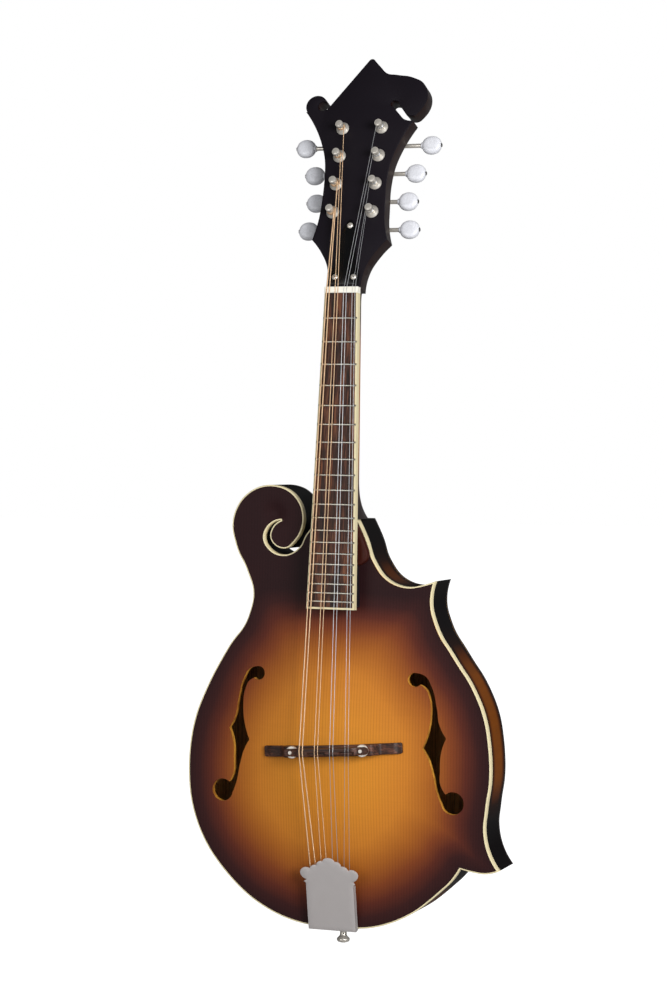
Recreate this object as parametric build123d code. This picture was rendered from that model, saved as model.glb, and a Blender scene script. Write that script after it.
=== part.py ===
from build123d import *
import os
from math import atan2, cos, hypot, pi, radians, sin, sqrt, tan

# An arched-top mandolin with a scroll, two body points and eight strings in four pairs.
# Millimetres. +Z runs up the neck, -Y is the side that faces the player's audience, +X is the treble
# side. The origin is where the strap button meets the tail, half way through the depth of the rim.

# ---- driving sizes: body -------------------------------------------------------------------------
RIM_DEPTH = 44.0            # outer edge of the top plate to outer edge of the back plate
PLATE_EDGE = 4.5            # thickness of both plates at their edge
PLATE = 4.5                 # thickness of both plates across the arch
TOP_RISE = 14.5             # how far the top plate's arch stands out of its edge plane
BACK_RISE = 13.0
ARCH_CENTRE = 142.0         # height of the middle of both arches
ARCH_HALF_WIDTH = 119.0
ARCH_BELOW = 138.0          # reach of the arch towards the tail
ARCH_ABOVE = 168.0          # reach of the arch towards the neck
RIB = 2.6                   # thickness of the bent sides
LINING_WIDTH = 5.0
LINING_HEIGHT = 7.0
BINDING_WIDTH = 1.8
BINDING_HEIGHT = 5.6
TAIL_BLOCK = (60.0, 16.0)   # width, thickness
SCROLL_BLOCK = (-58.0, 330.0, 90.0, 76.0)      # middle x and z, width, height
NECK_BLOCK = (0.0, 300.0, 110.0, 52.0)
POINT_BLOCKS = ((116.0, 58.0, 60.0, 36.0), (78.0, 275.0, 38.0, 22.0))
TONE_BAR = (6.0, 9.0, 205.0)                   # width, height, length
TONE_BAR_PLACE = (30.0, 3.0)                   # to the centre line, lean in degrees

# ---- driving sizes: neck and fingerboard ---------------------------------------------------------
SCALE = 352.4               # string length that the frets divide
SCALE_END_Z = 147.2         # height of the scale's end above the tail
BOARD_LIFT = 27.0           # board plane in front of the body's edge plane, at the scale's end
NECK_PITCH = 3.8            # degrees that the neck leans back from the body
BOARD_LENGTH = 247.5
BOARD = 6.0                 # fingerboard thickness
NUT_WIDTH = 27.5
BOARD_TAPER = 0.0486        # growth of the board's width per millimetre from the nut
BOARD_BINDING = 1.5
FRETS = 20
FRET_CROWN = (1.5, 0.9)     # width, height
FRET_TANG = (0.6, 1.6)
FRET_INSET = 0.3            # fret ends stop this far inside the board's edge
NUT = 4.9                   # nut thickness along the neck
NUT_PROUD = 1.6             # nut above the board
NUT_SLOT_DEPTH = 0.2        # middle of the strings below the nut's crest
NECK_DEPTH_NUT = 14.0       # wood below the board at the nut
NECK_DEPTH_HEEL = 17.0
BODY_TOP_Z = 322.0          # where the neck block of the body ends
HEEL_RUN = 28.0             # length of the heel's curve along the neck
HEEL_SAG = (0.62, 0.2)      # where the heel's curve passes, as shares of its depth and length
HEEL_BACK_SHARE = 0.72      # heel's width at the back, as a share of its width at the board
HEEL_ROUND_SHARE = 0.5      # corner radius of the heel, as a share of its half width
HEEL_LAP = 1.0              # heel and neck shaft run this far into each other
TENON = (20.0, 20.0)        # width, length into the head block
TRUSS_ROD = 5.0
TRUSS_ROD_DEPTH = 5.0       # rod's middle below the fingerboard
TRUSS_ROD_END = (14.0, 9.2) # past the nut, short of the body
TRUSS_NUT = (7.0, 6.0)      # diameter, length
TRUSS_POCKET = (9.0, 34.0, 3.0, 9.0)   # width, length, start, depth on the headstock
COVER = 1.8                 # truss rod cover thickness
COVER_SCREW = (1.8, 8.0, 5.0, 1.0)     # shank, length, head diameter, head height
COVER_SCREWS = ((0, 51.5), (-7.75, 8.2), (7.75, 8.2))   # across and along the headstock
COVER_BELL = ((11.8, 2.0), (12.0, 9.5), (8.4, 19), (6.4, 33), (6.0, 46), (0, 57.0))
RISER_INSET = (1.2, 1.5)    # riser inside the board's edge: at its side, at its end
RISER_LAP = 1.0             # riser wider than the nut where it meets the neck
SHOULDER = 5.0              # riser's shoulder in front of the body's edge plane
SHOULDER_RUNS = [
    [(16.0, 317.0), (20.5, 308.5), (25.2, 296.5)],
    [(25.2, 296.5), (24.4, 290.5), (19.8, 286.6), (14.0, 285.0)],
    [(14.0, 285.0), (14.0, 317.0)],
    [(14.0, 317.0), (16.0, 317.0)],
]
SIDE_DOT = (2.0, 0.9, 2.0)  # diameter, length, depth of its hole
SIDE_DOT_FRETS = (3, 5, 7, 10, 12, 15)

# ---- driving sizes: headstock and tuners ---------------------------------------------------------
HEAD_ANGLE = 13.3           # degrees that the headstock leans back from the fingerboard
HEAD_DROP = 5.0             # headstock face behind the board plane at the nut
HEAD = 14.0                 # headstock wood
OVERLAY = 1.6
POST_ROW = 16.4             # posts to centre line
POST_FIRST = 63.6           # lowest post above the nut
POST_PITCH = 24.0
POST = 6.0
POST_PROUD = 10.0           # post above the headstock face
POST_WAIST = (0.6, 4.0)     # depth, length of the groove that the string winds in
POST_HOLE = 1.8             # diameter of the string's hole
POST_SPIGOT = 4.0           # diameter of the post's tail inside its gear
BUSHING = (9.7, 8.0, 2.6)   # collar diameter, barrel diameter, collar height
BUSHING_BARREL = 8.0        # bushing depth in the headstock
BUSHING_LIP = 0.9           # width of the bushing's rim round the post
STRING_ON_POST = 5.6        # winding height above the headstock face
TUNER_PLATE = 1.2
TUNER_PLATE_WIDTH = 15.0
TUNER_PLATE_END = (4.0, 3.0)    # plate past its end screws, corner radius
TUNER_SCREW = (4.4, 1.1, 2.2, 7.5)     # head diameter, head height, shank, length
TUNER_SCREW_SHIFT = 2.6     # screws sit this far towards the nut from half way between two posts
GEAR_SCREW = (5.0, 1.3, 2.0, 5.0)      # head diameter, head height, shank, length
GEAR_TOOTH = (1.24, 0.72, 0.28)        # tooth thickness at its root, middle and tip
EAR = 7.0                   # bearing ear, square
PLATE_EAR = 1.2
EAR_ROOT = 0.2              # ears run this far into their plate
WORM_OFFSET = 7.7           # centre distance of the worm and the gear
GEAR_TEETH = 15
GEAR_MODULE = 0.7
GEAR_WIDTH = 3.0
WORM_LENGTH = 7.6
WORM_SHAFT = 3.4
BUTTON = (16.0, 15.0, 8.0)  # across, along the neck, thick
BUTTON_ROUND = 2.6
BUTTON_COLLAR = (6.4, 3.0)  # diameter, length
SHAFT_ENDS = (0.8, 2.0)     # worm shaft past its inner ear, and past the button's middle
BUTTON_REACH = (42.5, 38.8, 42.8, 53.2)   # centre line to button middle, from the nut upwards

# ---- driving sizes: bridge, tailpiece and strings ------------------------------------------------
BRIDGE_Z = 141.4            # height of the bridge's middle above the tail
BRIDGE_SLANT = 4.1          # degrees that its treble end is turned up towards the neck
BRIDGE_LENGTH = 114.5
BRIDGE_WIDTH = 8.6
BRIDGE_HIGH = 36.0          # the raised middle of the base ends this far out
BRIDGE_FALL = 5.0           # run of the slope from there down to the thin wings
BRIDGE_BASE_LIFT = 7.0      # top of the base above the crown of the arch
BRIDGE_FOOT_GAP = 1.8
BRIDGE_FOOT_START = 26.0    # the two feet begin this far from the middle
BRIDGE_TIP = 3.4            # height of the wings above the arch
STUD_IN_BASE = 4.0
STUD_IN_SADDLE = 3.4
STUD_TIP_ROOM = 0.5         # saddle's stud hole is this much deeper than the stud reaches
SADDLE = (69.0, 6.0)        # length, width
SADDLE_END = (3.2, 7.0)     # height of its low ends, and their length
SADDLE_CREST = 22.5         # half length of its crest
STUD = 3.0
STUD_SPREAD = 29.0          # studs to centre line
THUMBWHEEL = (9.8, 2.6)     # diameter, height
STRING_LIFT = 3.8           # strings in front of the board plane at the bridge
TAILPIECE_WIDTH = 39.5
TAILPIECE_LENGTH = 60.0
TAILPIECE_SHEET = 1.0
TAIL_LEG = 12.0             # base plate's reach down the tail, past the middle of the rim
RAMP_END = (7.5, 46.0)      # base plate's upper edge: in front of the body's edge plane, above the tail
HOOK_LIFT = 11.6            # strings' loops in front of the body's edge plane
HOOK_Z = 44.8
HOOK = 1.5
HOOK_DROP = 2.4             # hook's foot below the string's loop
HOOK_BALL = 1.05            # radius of the hook's rounded tip
TAIL_SCREW = (2.6, 5.0, 1.4, 12.0)     # shank, head diameter, head height, depth
TAIL_SCREWS = ((-11, 4), (11, 4), (-11, -12), (11, -12))
STRAP_PIN = (15.4, 5.4, 10.4, 14.0)    # length, neck diameter, head diameter, depth in the block
STRAP_FLANGE = (9.36, 2.5)             # diameter, reach past the tail
STRAP_HEAD = (4.0, 1.6)                # length, rounding
COVER_START = (4.2, -1.4)   # cover's lower edge: in front of the body's edge plane, above the tail
COVER_RISE = 12.6           # how much further forward its crest stands
COVER_WALL = (37.0, 4.2)    # side wall: length, depth
COVER_CREST = 21.5          # height of the cover's scalloped crest above its straight sides
COURSE_AT_NUT = 7.07        # spacing of the four pairs
COURSE_AT_BRIDGE = 12.6
PAIR_AT_NUT = 2.3
PAIR_AT_BRIDGE = 2.7
HOOK_PITCH = 4.6
STRING_DIAMETERS = (1.0, 1.0, 0.66, 0.66, 0.4, 0.4, 0.3, 0.3)   # bass to treble

# ---- clearances ----------------------------------------------------------------------------------
RUNNING = 0.04              # radial, shafts in their bearings
GEAR_CLEARANCE = 0.25       # between worm thread and gear teeth
LOOSE = 0.3                 # between parts that slide past each other
GLUE = 0.02                 # between glued wooden parts
SEAT = 0.06                 # between the carved plates and what they are glued to
STRING_SLOT = 0.12          # a string's slot is this much wider than the string

# ---- outline points, seen from the front (x, z) --------------------------------------------------
TREBLE_SIDE = [
    [(102.5, 53.0), (111.4, 51.2), (123.4, 50.4), (133.3, 53.2)],
    [(133.3, 53.2), (124.5, 69), (121.6, 84.2), (122.9, 100), (125.8, 124), (125.0, 145),
     (119.5, 174), (110.7, 193.7), (95.6, 216.2), (81.5, 238.5), (76.2, 258), (79.1, 275.2)],
    [(79.1, 275.2), (69, 272.0), (58.7, 270.1), (48.3, 271.6), (38.8, 276.7), (29.2, 289),
     (22, 308), (15, BODY_TOP_Z)],
]
BASS_SIDE = [
    [(15, BODY_TOP_Z), (-15, BODY_TOP_Z)],
    [(-15, BODY_TOP_Z), (-27.9, 309.1), (-33.6, 298.8), (-46.1, 292.6), (-58, 296.5),
     (-63.3, 306), (-59, 315.5), (-49.4, 319.8)],
    [(-49.4, 319.8), (-56.5, 314), (-58.3, 306), (-53.5, 299.3), (-46.2, 297.4), (-35.5, 305.5),
     (-30.2, 323.6), (-38, 340), (-59.5, 347.6), (-80, 339), (-90.6, 318), (-87, 298), (-78, 280),
     (-72.2, 262), (-76, 243), (-94, 215.9), (-110, 187), (-120.6, 160.7), (-125.8, 124), (-122, 88),
     (-111.5, 62.3), (-92, 37), (-68, 17.0), (-36, 3.2), (0, 0), (36, 3.2), (62, 14.3), (84, 31.5),
     (96.9, 44.5), (102.5, 53.0)],
]
HEAD_OUTLINE = [
    [(NUT_WIDTH / 2, 0), (14.0, 9), (16.4, 19), (22.5, 30), (31.3, 40.5)],
    [(31.3, 40.5), (27.6, 54), (26.0, 72), (25.2, 90), (27.2, 108), (31.8, 122), (41.8, 141.1)],
    [(41.8, 141.1), (34.8, 142.2), (29.6, 147.2), (24.2, 153.6)],
    [(24.2, 153.6), (22.0, 158.4), (25.6, 158.8), (31.8, 151.5), (38.7, 145.6), (47.0, 153),
     (50.3, 166.9), (45.5, 176.9), (34.6, 182), (24.5, 181.6), (16.2, 185.2), (8.5, 194), (3.5, 198)],
    [(3.5, 198), (1.2, 198.6), (-0.8, 197)],
    [(-0.8, 197), (-35.0, 153.5)],
    [(-35.0, 153.5), (-49.6, 152.6)],
    [(-49.6, 152.6), (-40.6, 138.5), (-33.4, 124), (-28.9, 110), (-27.0, 92), (-26.8, 74),
     (-28.0, 56), (-31.3, 40.5)],
    [(-31.3, 40.5), (-22.5, 30), (-16.4, 19), (-14.0, 9), (-NUT_WIDTH / 2, 0)],
]
HEAD_CURL = (-41.8, 157.4, 9.0)       # middle and radius of the small scroll
HEAD_CURL_EYE = (-35.6, 156.6, 2.8)
F_HOLE_OUTER = [
    [(66.5, 203.6), (72.5, 201.8), (78.6, 192.5), (82.6, 177), (85.0, 163.5), (90.3, 153.7)],
    [(90.3, 153.7), (86.6, 143), (85.8, 130), (86.8, 116), (92.5, 108.0)],
]
F_HOLE_INNER = [
    [(88.5, 99.0), (83.4, 111), (80.3, 125), (76.6, 137), (71.8, 145.3)],
    [(71.8, 145.3), (75.8, 156), (78.0, 171), (76.9, 184), (73.2, 191.8), (66.5, 195.2)],
]
F_HOLE_UPPER_EYE = (65.0, 198.4, 5.5)
F_HOLE_LOWER_EYE = (95.8, 103.6, 8.9)

# ---- worked-out places ---------------------------------------------------------------------------
FRONT = -RIM_DEPTH / 2
BACK = RIM_DEPTH / 2
PITCH = radians(NECK_PITCH)
BOARD_Y = FRONT - BOARD_LIFT + SCALE * sin(PITCH)
NUT_Z = SCALE_END_Z + SCALE * cos(PITCH)
BOARD_PLANE = Plane((0, BOARD_Y, NUT_Z), x_dir=(1, 0, 0), z_dir=(0, -cos(PITCH), sin(PITCH)))
HEAD_LEAN = PITCH + radians(HEAD_ANGLE)
HEAD_PLANE = Plane(
    BOARD_PLANE.from_local_coords((0, NUT, -HEAD_DROP)),
    x_dir=(1, 0, 0),
    z_dir=(0, -cos(HEAD_LEAN), sin(HEAD_LEAN)),
)
HEAD_BACK = -OVERLAY - HEAD
PLATE_BACK = HEAD_BACK - TUNER_PLATE
GEAR_RADIUS = GEAR_MODULE * GEAR_TEETH / 2
WORM_RADIUS = WORM_OFFSET - GEAR_RADIUS
WORM_TIP = WORM_RADIUS + GEAR_MODULE - GEAR_CLEARANCE
WORM_Z = PLATE_BACK - WORM_TIP - LOOSE
CROWN_Y = FRONT - TOP_RISE
BASE_TOP_Y = CROWN_Y - BRIDGE_BASE_LIFT
WHEEL_BACK_Y = BASE_TOP_Y - GLUE
SADDLE_BACK_Y = WHEEL_BACK_Y - THUMBWHEEL[1] - GLUE
STRING_Y = FRONT - BOARD_LIFT - STRING_LIFT
RAMP_Y = FRONT - RAMP_END[0]
HOOK_Y = FRONT - HOOK_LIFT
SHAFT_LENGTH = (NUT_Z - BODY_TOP_Z) / cos(PITCH)


# ---- helpers -------------------------------------------------------------------------------------
def unit(vector):
    """The direction of a flat vector."""
    length = hypot(*vector)
    return (vector[0] / length, vector[1] / length)


def mirror_direction(direction, axis):
    """A direction reflected about an axis, which is what a circle does from one end to the other."""
    share = 2 * (direction[0] * axis[0] + direction[1] * axis[1])
    return (share * axis[0] - direction[0], share * axis[1] - direction[1])


def run_directions(points):
    """Tangent at each point: that of the circle through the point and its two neighbours."""
    steps = [(b[0] - a[0], b[1] - a[1]) for a, b in zip(points, points[1:])]
    units = [unit(step) for step in steps]
    if len(steps) == 1:
        return [units[0], units[0]]
    middle = []
    for i in range(len(steps) - 1):
        before = hypot(*steps[i])
        after = hypot(*steps[i + 1])
        middle.append(unit((
            units[i][0] * after + units[i + 1][0] * before,
            units[i][1] * after + units[i + 1][1] * before,
        )))
    first = mirror_direction(middle[0], units[0])
    last = mirror_direction(middle[-1], units[-1])
    return [first] + middle + [last]


def arc_or_line(start, direction, end):
    """An arc that leaves start in a direction and reaches end, or a line where it would be straight."""
    chord = (end[0] - start[0], end[1] - start[1])
    turn = direction[0] * chord[1] - direction[1] * chord[0]
    if abs(turn) < 1e-4 * hypot(*chord):
        return Edge.make_line((*start, 0), (*end, 0))
    return Edge.make_tangent_arc((*start, 0), (*direction, 0), (*end, 0))


def smooth_run(points):
    """Tangent arcs through the points, two arcs for each step."""
    edges = []
    directions = run_directions(points)
    for p, q, t, s in zip(points, points[1:], directions, directions[1:]):
        v = (q[0] - p[0], q[1] - p[1])
        along = v[0] * (t[0] + s[0]) + v[1] * (t[1] + s[1])
        square = v[0] ** 2 + v[1] ** 2
        bend = 2 * (1 - (t[0] * s[0] + t[1] * s[1]))
        if bend < 1e-6:
            reach = square / (2 * along)
        else:
            reach = (-along + sqrt(along * along + bend * square)) / bend
        joint = ((p[0] + q[0] + reach * (t[0] - s[0])) / 2, (p[1] + q[1] + reach * (t[1] - s[1])) / 2)
        edges.append(arc_or_line(p, t, joint))
        edges.append(arc_or_line(q, (-s[0], -s[1]), joint))
    return edges


def outline_face(runs):
    """A flat face inside a closed chain of smooth runs; the runs meet in corners."""
    edges = [edge for run in runs for edge in smooth_run(run)]
    face = Face(Wire(edges))
    return face if face.normal_at().Z > 0 else -face


def slab(face, front, back):
    """A face drawn in front view, made solid between two depths."""
    return extrude(Plane.XZ.offset(-back) * face, amount=back - front)


def on_plane(plane, face, low, high):
    """A face drawn on a plane, made solid between two heights above that plane."""
    return extrude(plane.offset(low) * face, amount=high - low)


def rod(start, end, diameter):
    """A round bar between two points."""
    axis = Vector(*end) - Vector(*start)
    return Solid.make_cylinder(diameter / 2, axis.length, Plane(Vector(*start), z_dir=axis))


def box_between(low, high):
    """A box between two corners."""
    size = [h - l for l, h in zip(low, high)]
    middle = [(h + l) / 2 for l, h in zip(low, high)]
    return Pos(*middle) * Box(*size)


def group(shapes):
    """Separate solids kept together as one node."""
    return Compound([solid for shape in shapes for solid in shape.solids()])


# ---- body ----------------------------------------------------------------------------------------
def arch_height(x, z, rise):
    """A cosine hill: the full rise in the middle, nothing from the hill's foot outwards."""
    reach = ARCH_BELOW if z < ARCH_CENTRE else ARCH_ABOVE
    distance = hypot(x / ARCH_HALF_WIDTH, (z - ARCH_CENTRE) / reach)
    return rise * (1 + cos(pi * min(distance, 1))) / 2


def arch_face(edge_y, rise, side):
    """The curved face of a plate, wider than the body; side is -1 for the front and 1 for the back."""
    grid = [
        [Vector(x, edge_y + side * arch_height(x, z, rise), z) for z in range(-40, 401, 10)]
        for x in range(-160, 161, 10)
    ]
    return Face.make_surface_from_array_of_points(grid, tol=0.02)


def f_hole():
    """The treble sound hole as a flat face."""
    inner = F_HOLE_INNER
    lower_end = [F_HOLE_OUTER[-1][-1], inner[0][0]]
    upper_end = [inner[-1][-1], F_HOLE_OUTER[0][0]]
    stem = outline_face(F_HOLE_OUTER + [lower_end] + inner + [upper_end])
    upper = Pos(F_HOLE_UPPER_EYE[0], F_HOLE_UPPER_EYE[1]) * Circle(F_HOLE_UPPER_EYE[2])
    lower = Pos(F_HOLE_LOWER_EYE[0], F_HOLE_LOWER_EYE[1]) * Circle(F_HOLE_LOWER_EYE[2])
    return Sketch() + stem + upper + lower


def zone(x, z, width, height):
    """A rectangle seen from the front, by its middle and size."""
    return Pos(x, z) * Rectangle(width, height)


def make_body():
    """Plates, ribs, linings, blocks, bars and binding, by node name."""
    outline = outline_face(TREBLE_SIDE + BASS_SIDE)
    inside_binding = offset(outline, -BINDING_WIDTH, kind=Kind.ARC)
    inside_ribs = offset(outline, -RIB, kind=Kind.ARC)
    inside_linings = offset(outline, -RIB - LINING_WIDTH, kind=Kind.ARC)

    front_face = arch_face(FRONT, TOP_RISE, -1)
    back_face = arch_face(BACK, BACK_RISE, 1)
    top_blank = Solid.extrude(front_face, Vector(0, PLATE, 0))
    back_blank = Solid.extrude(back_face, Vector(0, -PLATE, 0))
    room = Solid.extrude(front_face.moved(Pos(0, PLATE + GLUE, 0)), Vector(0, RIM_DEPTH / 2 + TOP_RISE, 0))

    top = slab(inside_binding, FRONT - 2 * TOP_RISE, 0) & top_blank
    holes = slab(f_hole(), FRONT - 2 * TOP_RISE, 0)
    top = top - holes - mirror(holes, Plane.YZ)
    back = slab(outline, 0, BACK + 2 * BACK_RISE) & back_blank

    rib_front = FRONT + PLATE_EDGE + SEAT
    rib_back = BACK - PLATE_EDGE - SEAT
    mortise = tenon_box(GLUE)
    tail_holes = group(tail_screw_shanks() + [strap_pin()])
    binding = slab(outline - inside_binding, FRONT, FRONT + BINDING_HEIGHT)
    ribs = slab(outline - inside_ribs, rib_front, rib_back) - binding - mortise - tail_holes
    binding = binding - mortise

    scroll_zone = zone(*SCROLL_BLOCK)
    neck_zone = zone(*NECK_BLOCK)
    points_zone = zone(*POINT_BLOCKS[0]) + zone(*POINT_BLOCKS[1])
    tail_zone = zone(0, TAIL_BLOCK[1] / 2, *TAIL_BLOCK)
    core = offset(outline, -RIB - GLUE, kind=Kind.ARC)
    head_block = slab(core & (scroll_zone + neck_zone), rib_front, rib_back) - binding - mortise
    point_blocks = slab(core & points_zone, rib_front, rib_back)
    tail_block = slab(core & tail_zone, rib_front, rib_back) - tail_holes

    lining_ring = (core - inside_linings) - scroll_zone - neck_zone - points_zone - tail_zone
    linings = group([
        slab(lining_ring, rib_front, rib_front + LINING_HEIGHT),
        slab(lining_ring, rib_back - LINING_HEIGHT, rib_back),
    ])

    bars = []
    for side in (-1, 1):
        turned = Rot(0, 0, side * TONE_BAR_PLACE[1])
        plan = Pos(side * TONE_BAR_PLACE[0], ARCH_CENTRE) * turned * Rectangle(TONE_BAR[0], TONE_BAR[2])
        full = slab(plan, FRONT - TOP_RISE, 0) & room
        waste = room.moved(Pos(0, TONE_BAR[1], 0))
        bars.append(full - waste)

    return {
        "top_plate": top,
        "back_plate": back,
        "ribs": ribs,
        "linings": linings,
        "head_block": head_block,
        "point_blocks": point_blocks,
        "tail_block": tail_block,
        "tone_bars": group(bars),
        "top_binding": binding,
    }


# ---- neck ----------------------------------------------------------------------------------------
def board_half_width(distance):
    """Half the fingerboard's width at a distance from the nut."""
    return (NUT_WIDTH + BOARD_TAPER * distance) / 2


def board_depth_at(z):
    """The board plane's y at a height."""
    return BOARD_Y + (z - NUT_Z) * tan(PITCH)


def neck_section(distance, depth):
    """Half an ellipse below the fingerboard, square to it."""
    plane = Plane(
        BOARD_PLANE.from_local_coords((0, -distance, -BOARD - GLUE)),
        x_dir=(1, 0, 0),
        z_dir=BOARD_PLANE.y_dir,
    )
    half_width = board_half_width(max(distance, 0))
    half = Ellipse(half_width, depth) & (Pos(0, depth) * Rectangle(4 * half_width, 2 * depth))
    return plane * half


def tenon_box(growth):
    """The neck's tenon in the head block, or its mortise when it is grown a little."""
    return box_between(
        (-TENON[0] / 2 - growth, FRONT + PLATE_EDGE + 2 * SEAT, BODY_TOP_Z - TENON[1] - growth),
        (TENON[0] / 2 + growth, BACK - PLATE_EDGE - 2 * SEAT, BODY_TOP_Z + growth),
    )


def nut_box(growth):
    """The nut's block, or the room for it when it is grown a little."""
    block = Box(NUT_WIDTH + 2 * growth, NUT + 2 * (growth - GLUE), NUT_PROUD + BOARD + 2 * growth)
    return BOARD_PLANE * Pos(0, NUT / 2, (NUT_PROUD - BOARD) / 2) * block


def make_neck():
    """Neck, heel and headstock core in one piece of wood, with its truss rod and overlay."""
    shaft = loft([
        neck_section(SHAFT_LENGTH, NECK_DEPTH_HEEL),
        neck_section(-NUT, NECK_DEPTH_NUT),
    ])

    heel_top = BODY_TOP_Z + HEEL_RUN
    heel_face = board_depth_at(heel_top) + BOARD + HEEL_LAP
    heel_back = board_depth_at(heel_top) + BOARD + NECK_DEPTH_HEEL - HEEL_LAP
    side = make_face(
        Polyline((heel_back, heel_top), (heel_face, heel_top), (heel_face, BODY_TOP_Z), (BACK, BODY_TOP_Z))
        + ThreePointArc(
            (BACK, BODY_TOP_Z),
            (heel_back + HEEL_SAG[0] * (BACK - heel_back), BODY_TOP_Z + HEEL_SAG[1] * HEEL_RUN),
            (heel_back, heel_top),
        )
    )
    side_slab = extrude(Plane.YZ.offset(-NUT_WIDTH) * side, amount=2 * NUT_WIDTH)
    heel_half = board_half_width(SHAFT_LENGTH)
    back_half = HEEL_BACK_SHARE * heel_half
    plan = Polygon(
        (-heel_half, heel_face), (heel_half, heel_face), (back_half, BACK), (-back_half, BACK), align=None)
    plan = fillet(plan.vertices().sort_by(Axis.Y)[-2:], HEEL_ROUND_SHARE * heel_half)
    heel = side_slab & extrude(Plane.XY.offset(BODY_TOP_Z) * plan, amount=HEEL_RUN)

    tenon = tenon_box(0)

    head = on_plane(HEAD_PLANE, head_face(), HEAD_BACK, -OVERLAY - GLUE)
    neck = shaft + heel + head
    body_room = box_between((-NUT_WIDTH, -RIM_DEPTH * 2, BODY_TOP_Z - 30), (NUT_WIDTH, RIM_DEPTH, BODY_TOP_Z))
    neck = neck - body_room + tenon
    nut_bay = BOARD_PLANE * Pos(0, 0, -BOARD) * Box(2 * NUT_WIDTH, 2 * NUT, 4 * BOARD)
    overlay = on_plane(HEAD_PLANE, head_face(), -OVERLAY, 0) - nut_bay

    rod_start = BOARD_PLANE.from_local_coords((0, TRUSS_ROD_END[0], -BOARD - TRUSS_ROD_DEPTH))
    rod_end = BOARD_PLANE.from_local_coords((0, TRUSS_ROD_END[1] - SHAFT_LENGTH, -BOARD - TRUSS_ROD_DEPTH))
    nut_end = BOARD_PLANE.from_local_coords((0, TRUSS_ROD_END[0] - TRUSS_NUT[1], -BOARD - TRUSS_ROD_DEPTH))
    truss_rod = rod(rod_start, rod_end, TRUSS_ROD) + rod(rod_start, nut_end, TRUSS_NUT[0])
    width, length, start, depth = TRUSS_POCKET
    slot = Pos(0, start + length / 2) * SlotOverall(length, width, rotation=90)
    pocket = on_plane(HEAD_PLANE, slot, -depth, 1)
    bore = rod(rod_start, rod_end, TRUSS_ROD + 2 * GLUE)
    nut_bore = rod(rod_start, nut_end, TRUSS_NUT[0] + 2 * GLUE)
    neck = neck - bore - nut_bore - pocket - nut_box(GLUE)
    overlay = overlay - pocket

    for x, t in post_places():
        at = HEAD_PLANE * Pos(x, t, 0)
        neck = neck - at * Pos(0, 0, -BUSHING_BARREL / 2) * Cylinder(BUSHING[1] / 2, BUSHING_BARREL)
        neck = neck - at * Pos(0, 0, HEAD_BACK / 2) * Cylinder(POST / 2 + LOOSE, -HEAD_BACK + 2)
        overlay = overlay - at * Cylinder(BUSHING[1] / 2, 3 * OVERLAY)
    for x, t in plate_screw_places():
        neck = neck - tuner_screw(x, t)
    for x, t in COVER_SCREWS:
        hole = HEAD_PLANE * Pos(x, t, -COVER_SCREW[1] / 2) * Cylinder(COVER_SCREW[0] / 2, COVER_SCREW[1])
        neck = neck - hole
        overlay = overlay - hole
    return {
        "neck": neck,
        "head_overlay": overlay,
        "truss_rod": truss_rod,
    }


def head_face():
    """The headstock's outline with its small pierced scroll, as a flat face."""
    face = Sketch() + outline_face(HEAD_OUTLINE + [[HEAD_OUTLINE[-1][-1], HEAD_OUTLINE[0][0]]])
    curl_x, curl_t, curl_radius = HEAD_CURL
    eye_x, eye_t, eye_radius = HEAD_CURL_EYE
    return face + Pos(curl_x, curl_t) * Circle(curl_radius) - Pos(eye_x, eye_t) * Circle(eye_radius)


def post_places():
    """Post centres on the headstock: four on the bass side, then four on the treble side."""
    return [(side * POST_ROW, POST_FIRST + i * POST_PITCH) for side in (-1, 1) for i in range(4)]


def plate_screw_places():
    """Screws of both tuner plates: one past each end and one between each two gears."""
    first = POST_FIRST + POST_PITCH / 2 - TUNER_SCREW_SHIFT - POST_PITCH
    return [(side * POST_ROW, first + i * POST_PITCH) for side in (-1, 1) for i in range(5)]


def tuner_screw(x, t):
    """A pan head screw through a tuner plate into the headstock."""
    at = HEAD_PLANE * Pos(x, t, PLATE_BACK)
    head = at * Pos(0, 0, -TUNER_SCREW[1] / 2) * Cylinder(TUNER_SCREW[0] / 2, TUNER_SCREW[1])
    shank = at * Pos(0, 0, TUNER_SCREW[3] / 2) * Cylinder(TUNER_SCREW[2] / 2, TUNER_SCREW[3])
    return head + shank


def make_truss_cover():
    """The bell-shaped cover and its screws."""
    right = list(COVER_BELL)
    left = [(-x, t) for x, t in reversed(right)]
    bell = outline_face([right, left, [left[-1], right[0]]])
    cover = on_plane(HEAD_PLANE, bell, GLUE, COVER)
    screws = []
    for x, t in COVER_SCREWS:
        at = HEAD_PLANE * Pos(x, t, 0)
        length = COVER + COVER_SCREW[1] - 1
        shank = at * Pos(0, 0, COVER - length / 2) * Cylinder(COVER_SCREW[0] / 2, length)
        cap = at * Pos(0, 0, COVER + COVER_SCREW[3] / 2) * Cylinder(COVER_SCREW[2] / 2, COVER_SCREW[3])
        cover = cover - shank
        screws.append(shank + fillet(cap.edges().group_by(Axis.Y)[0], COVER_SCREW[3] / 2))
    return {"truss_rod_cover": cover, "truss_cover_screws": group(screws)}


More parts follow.
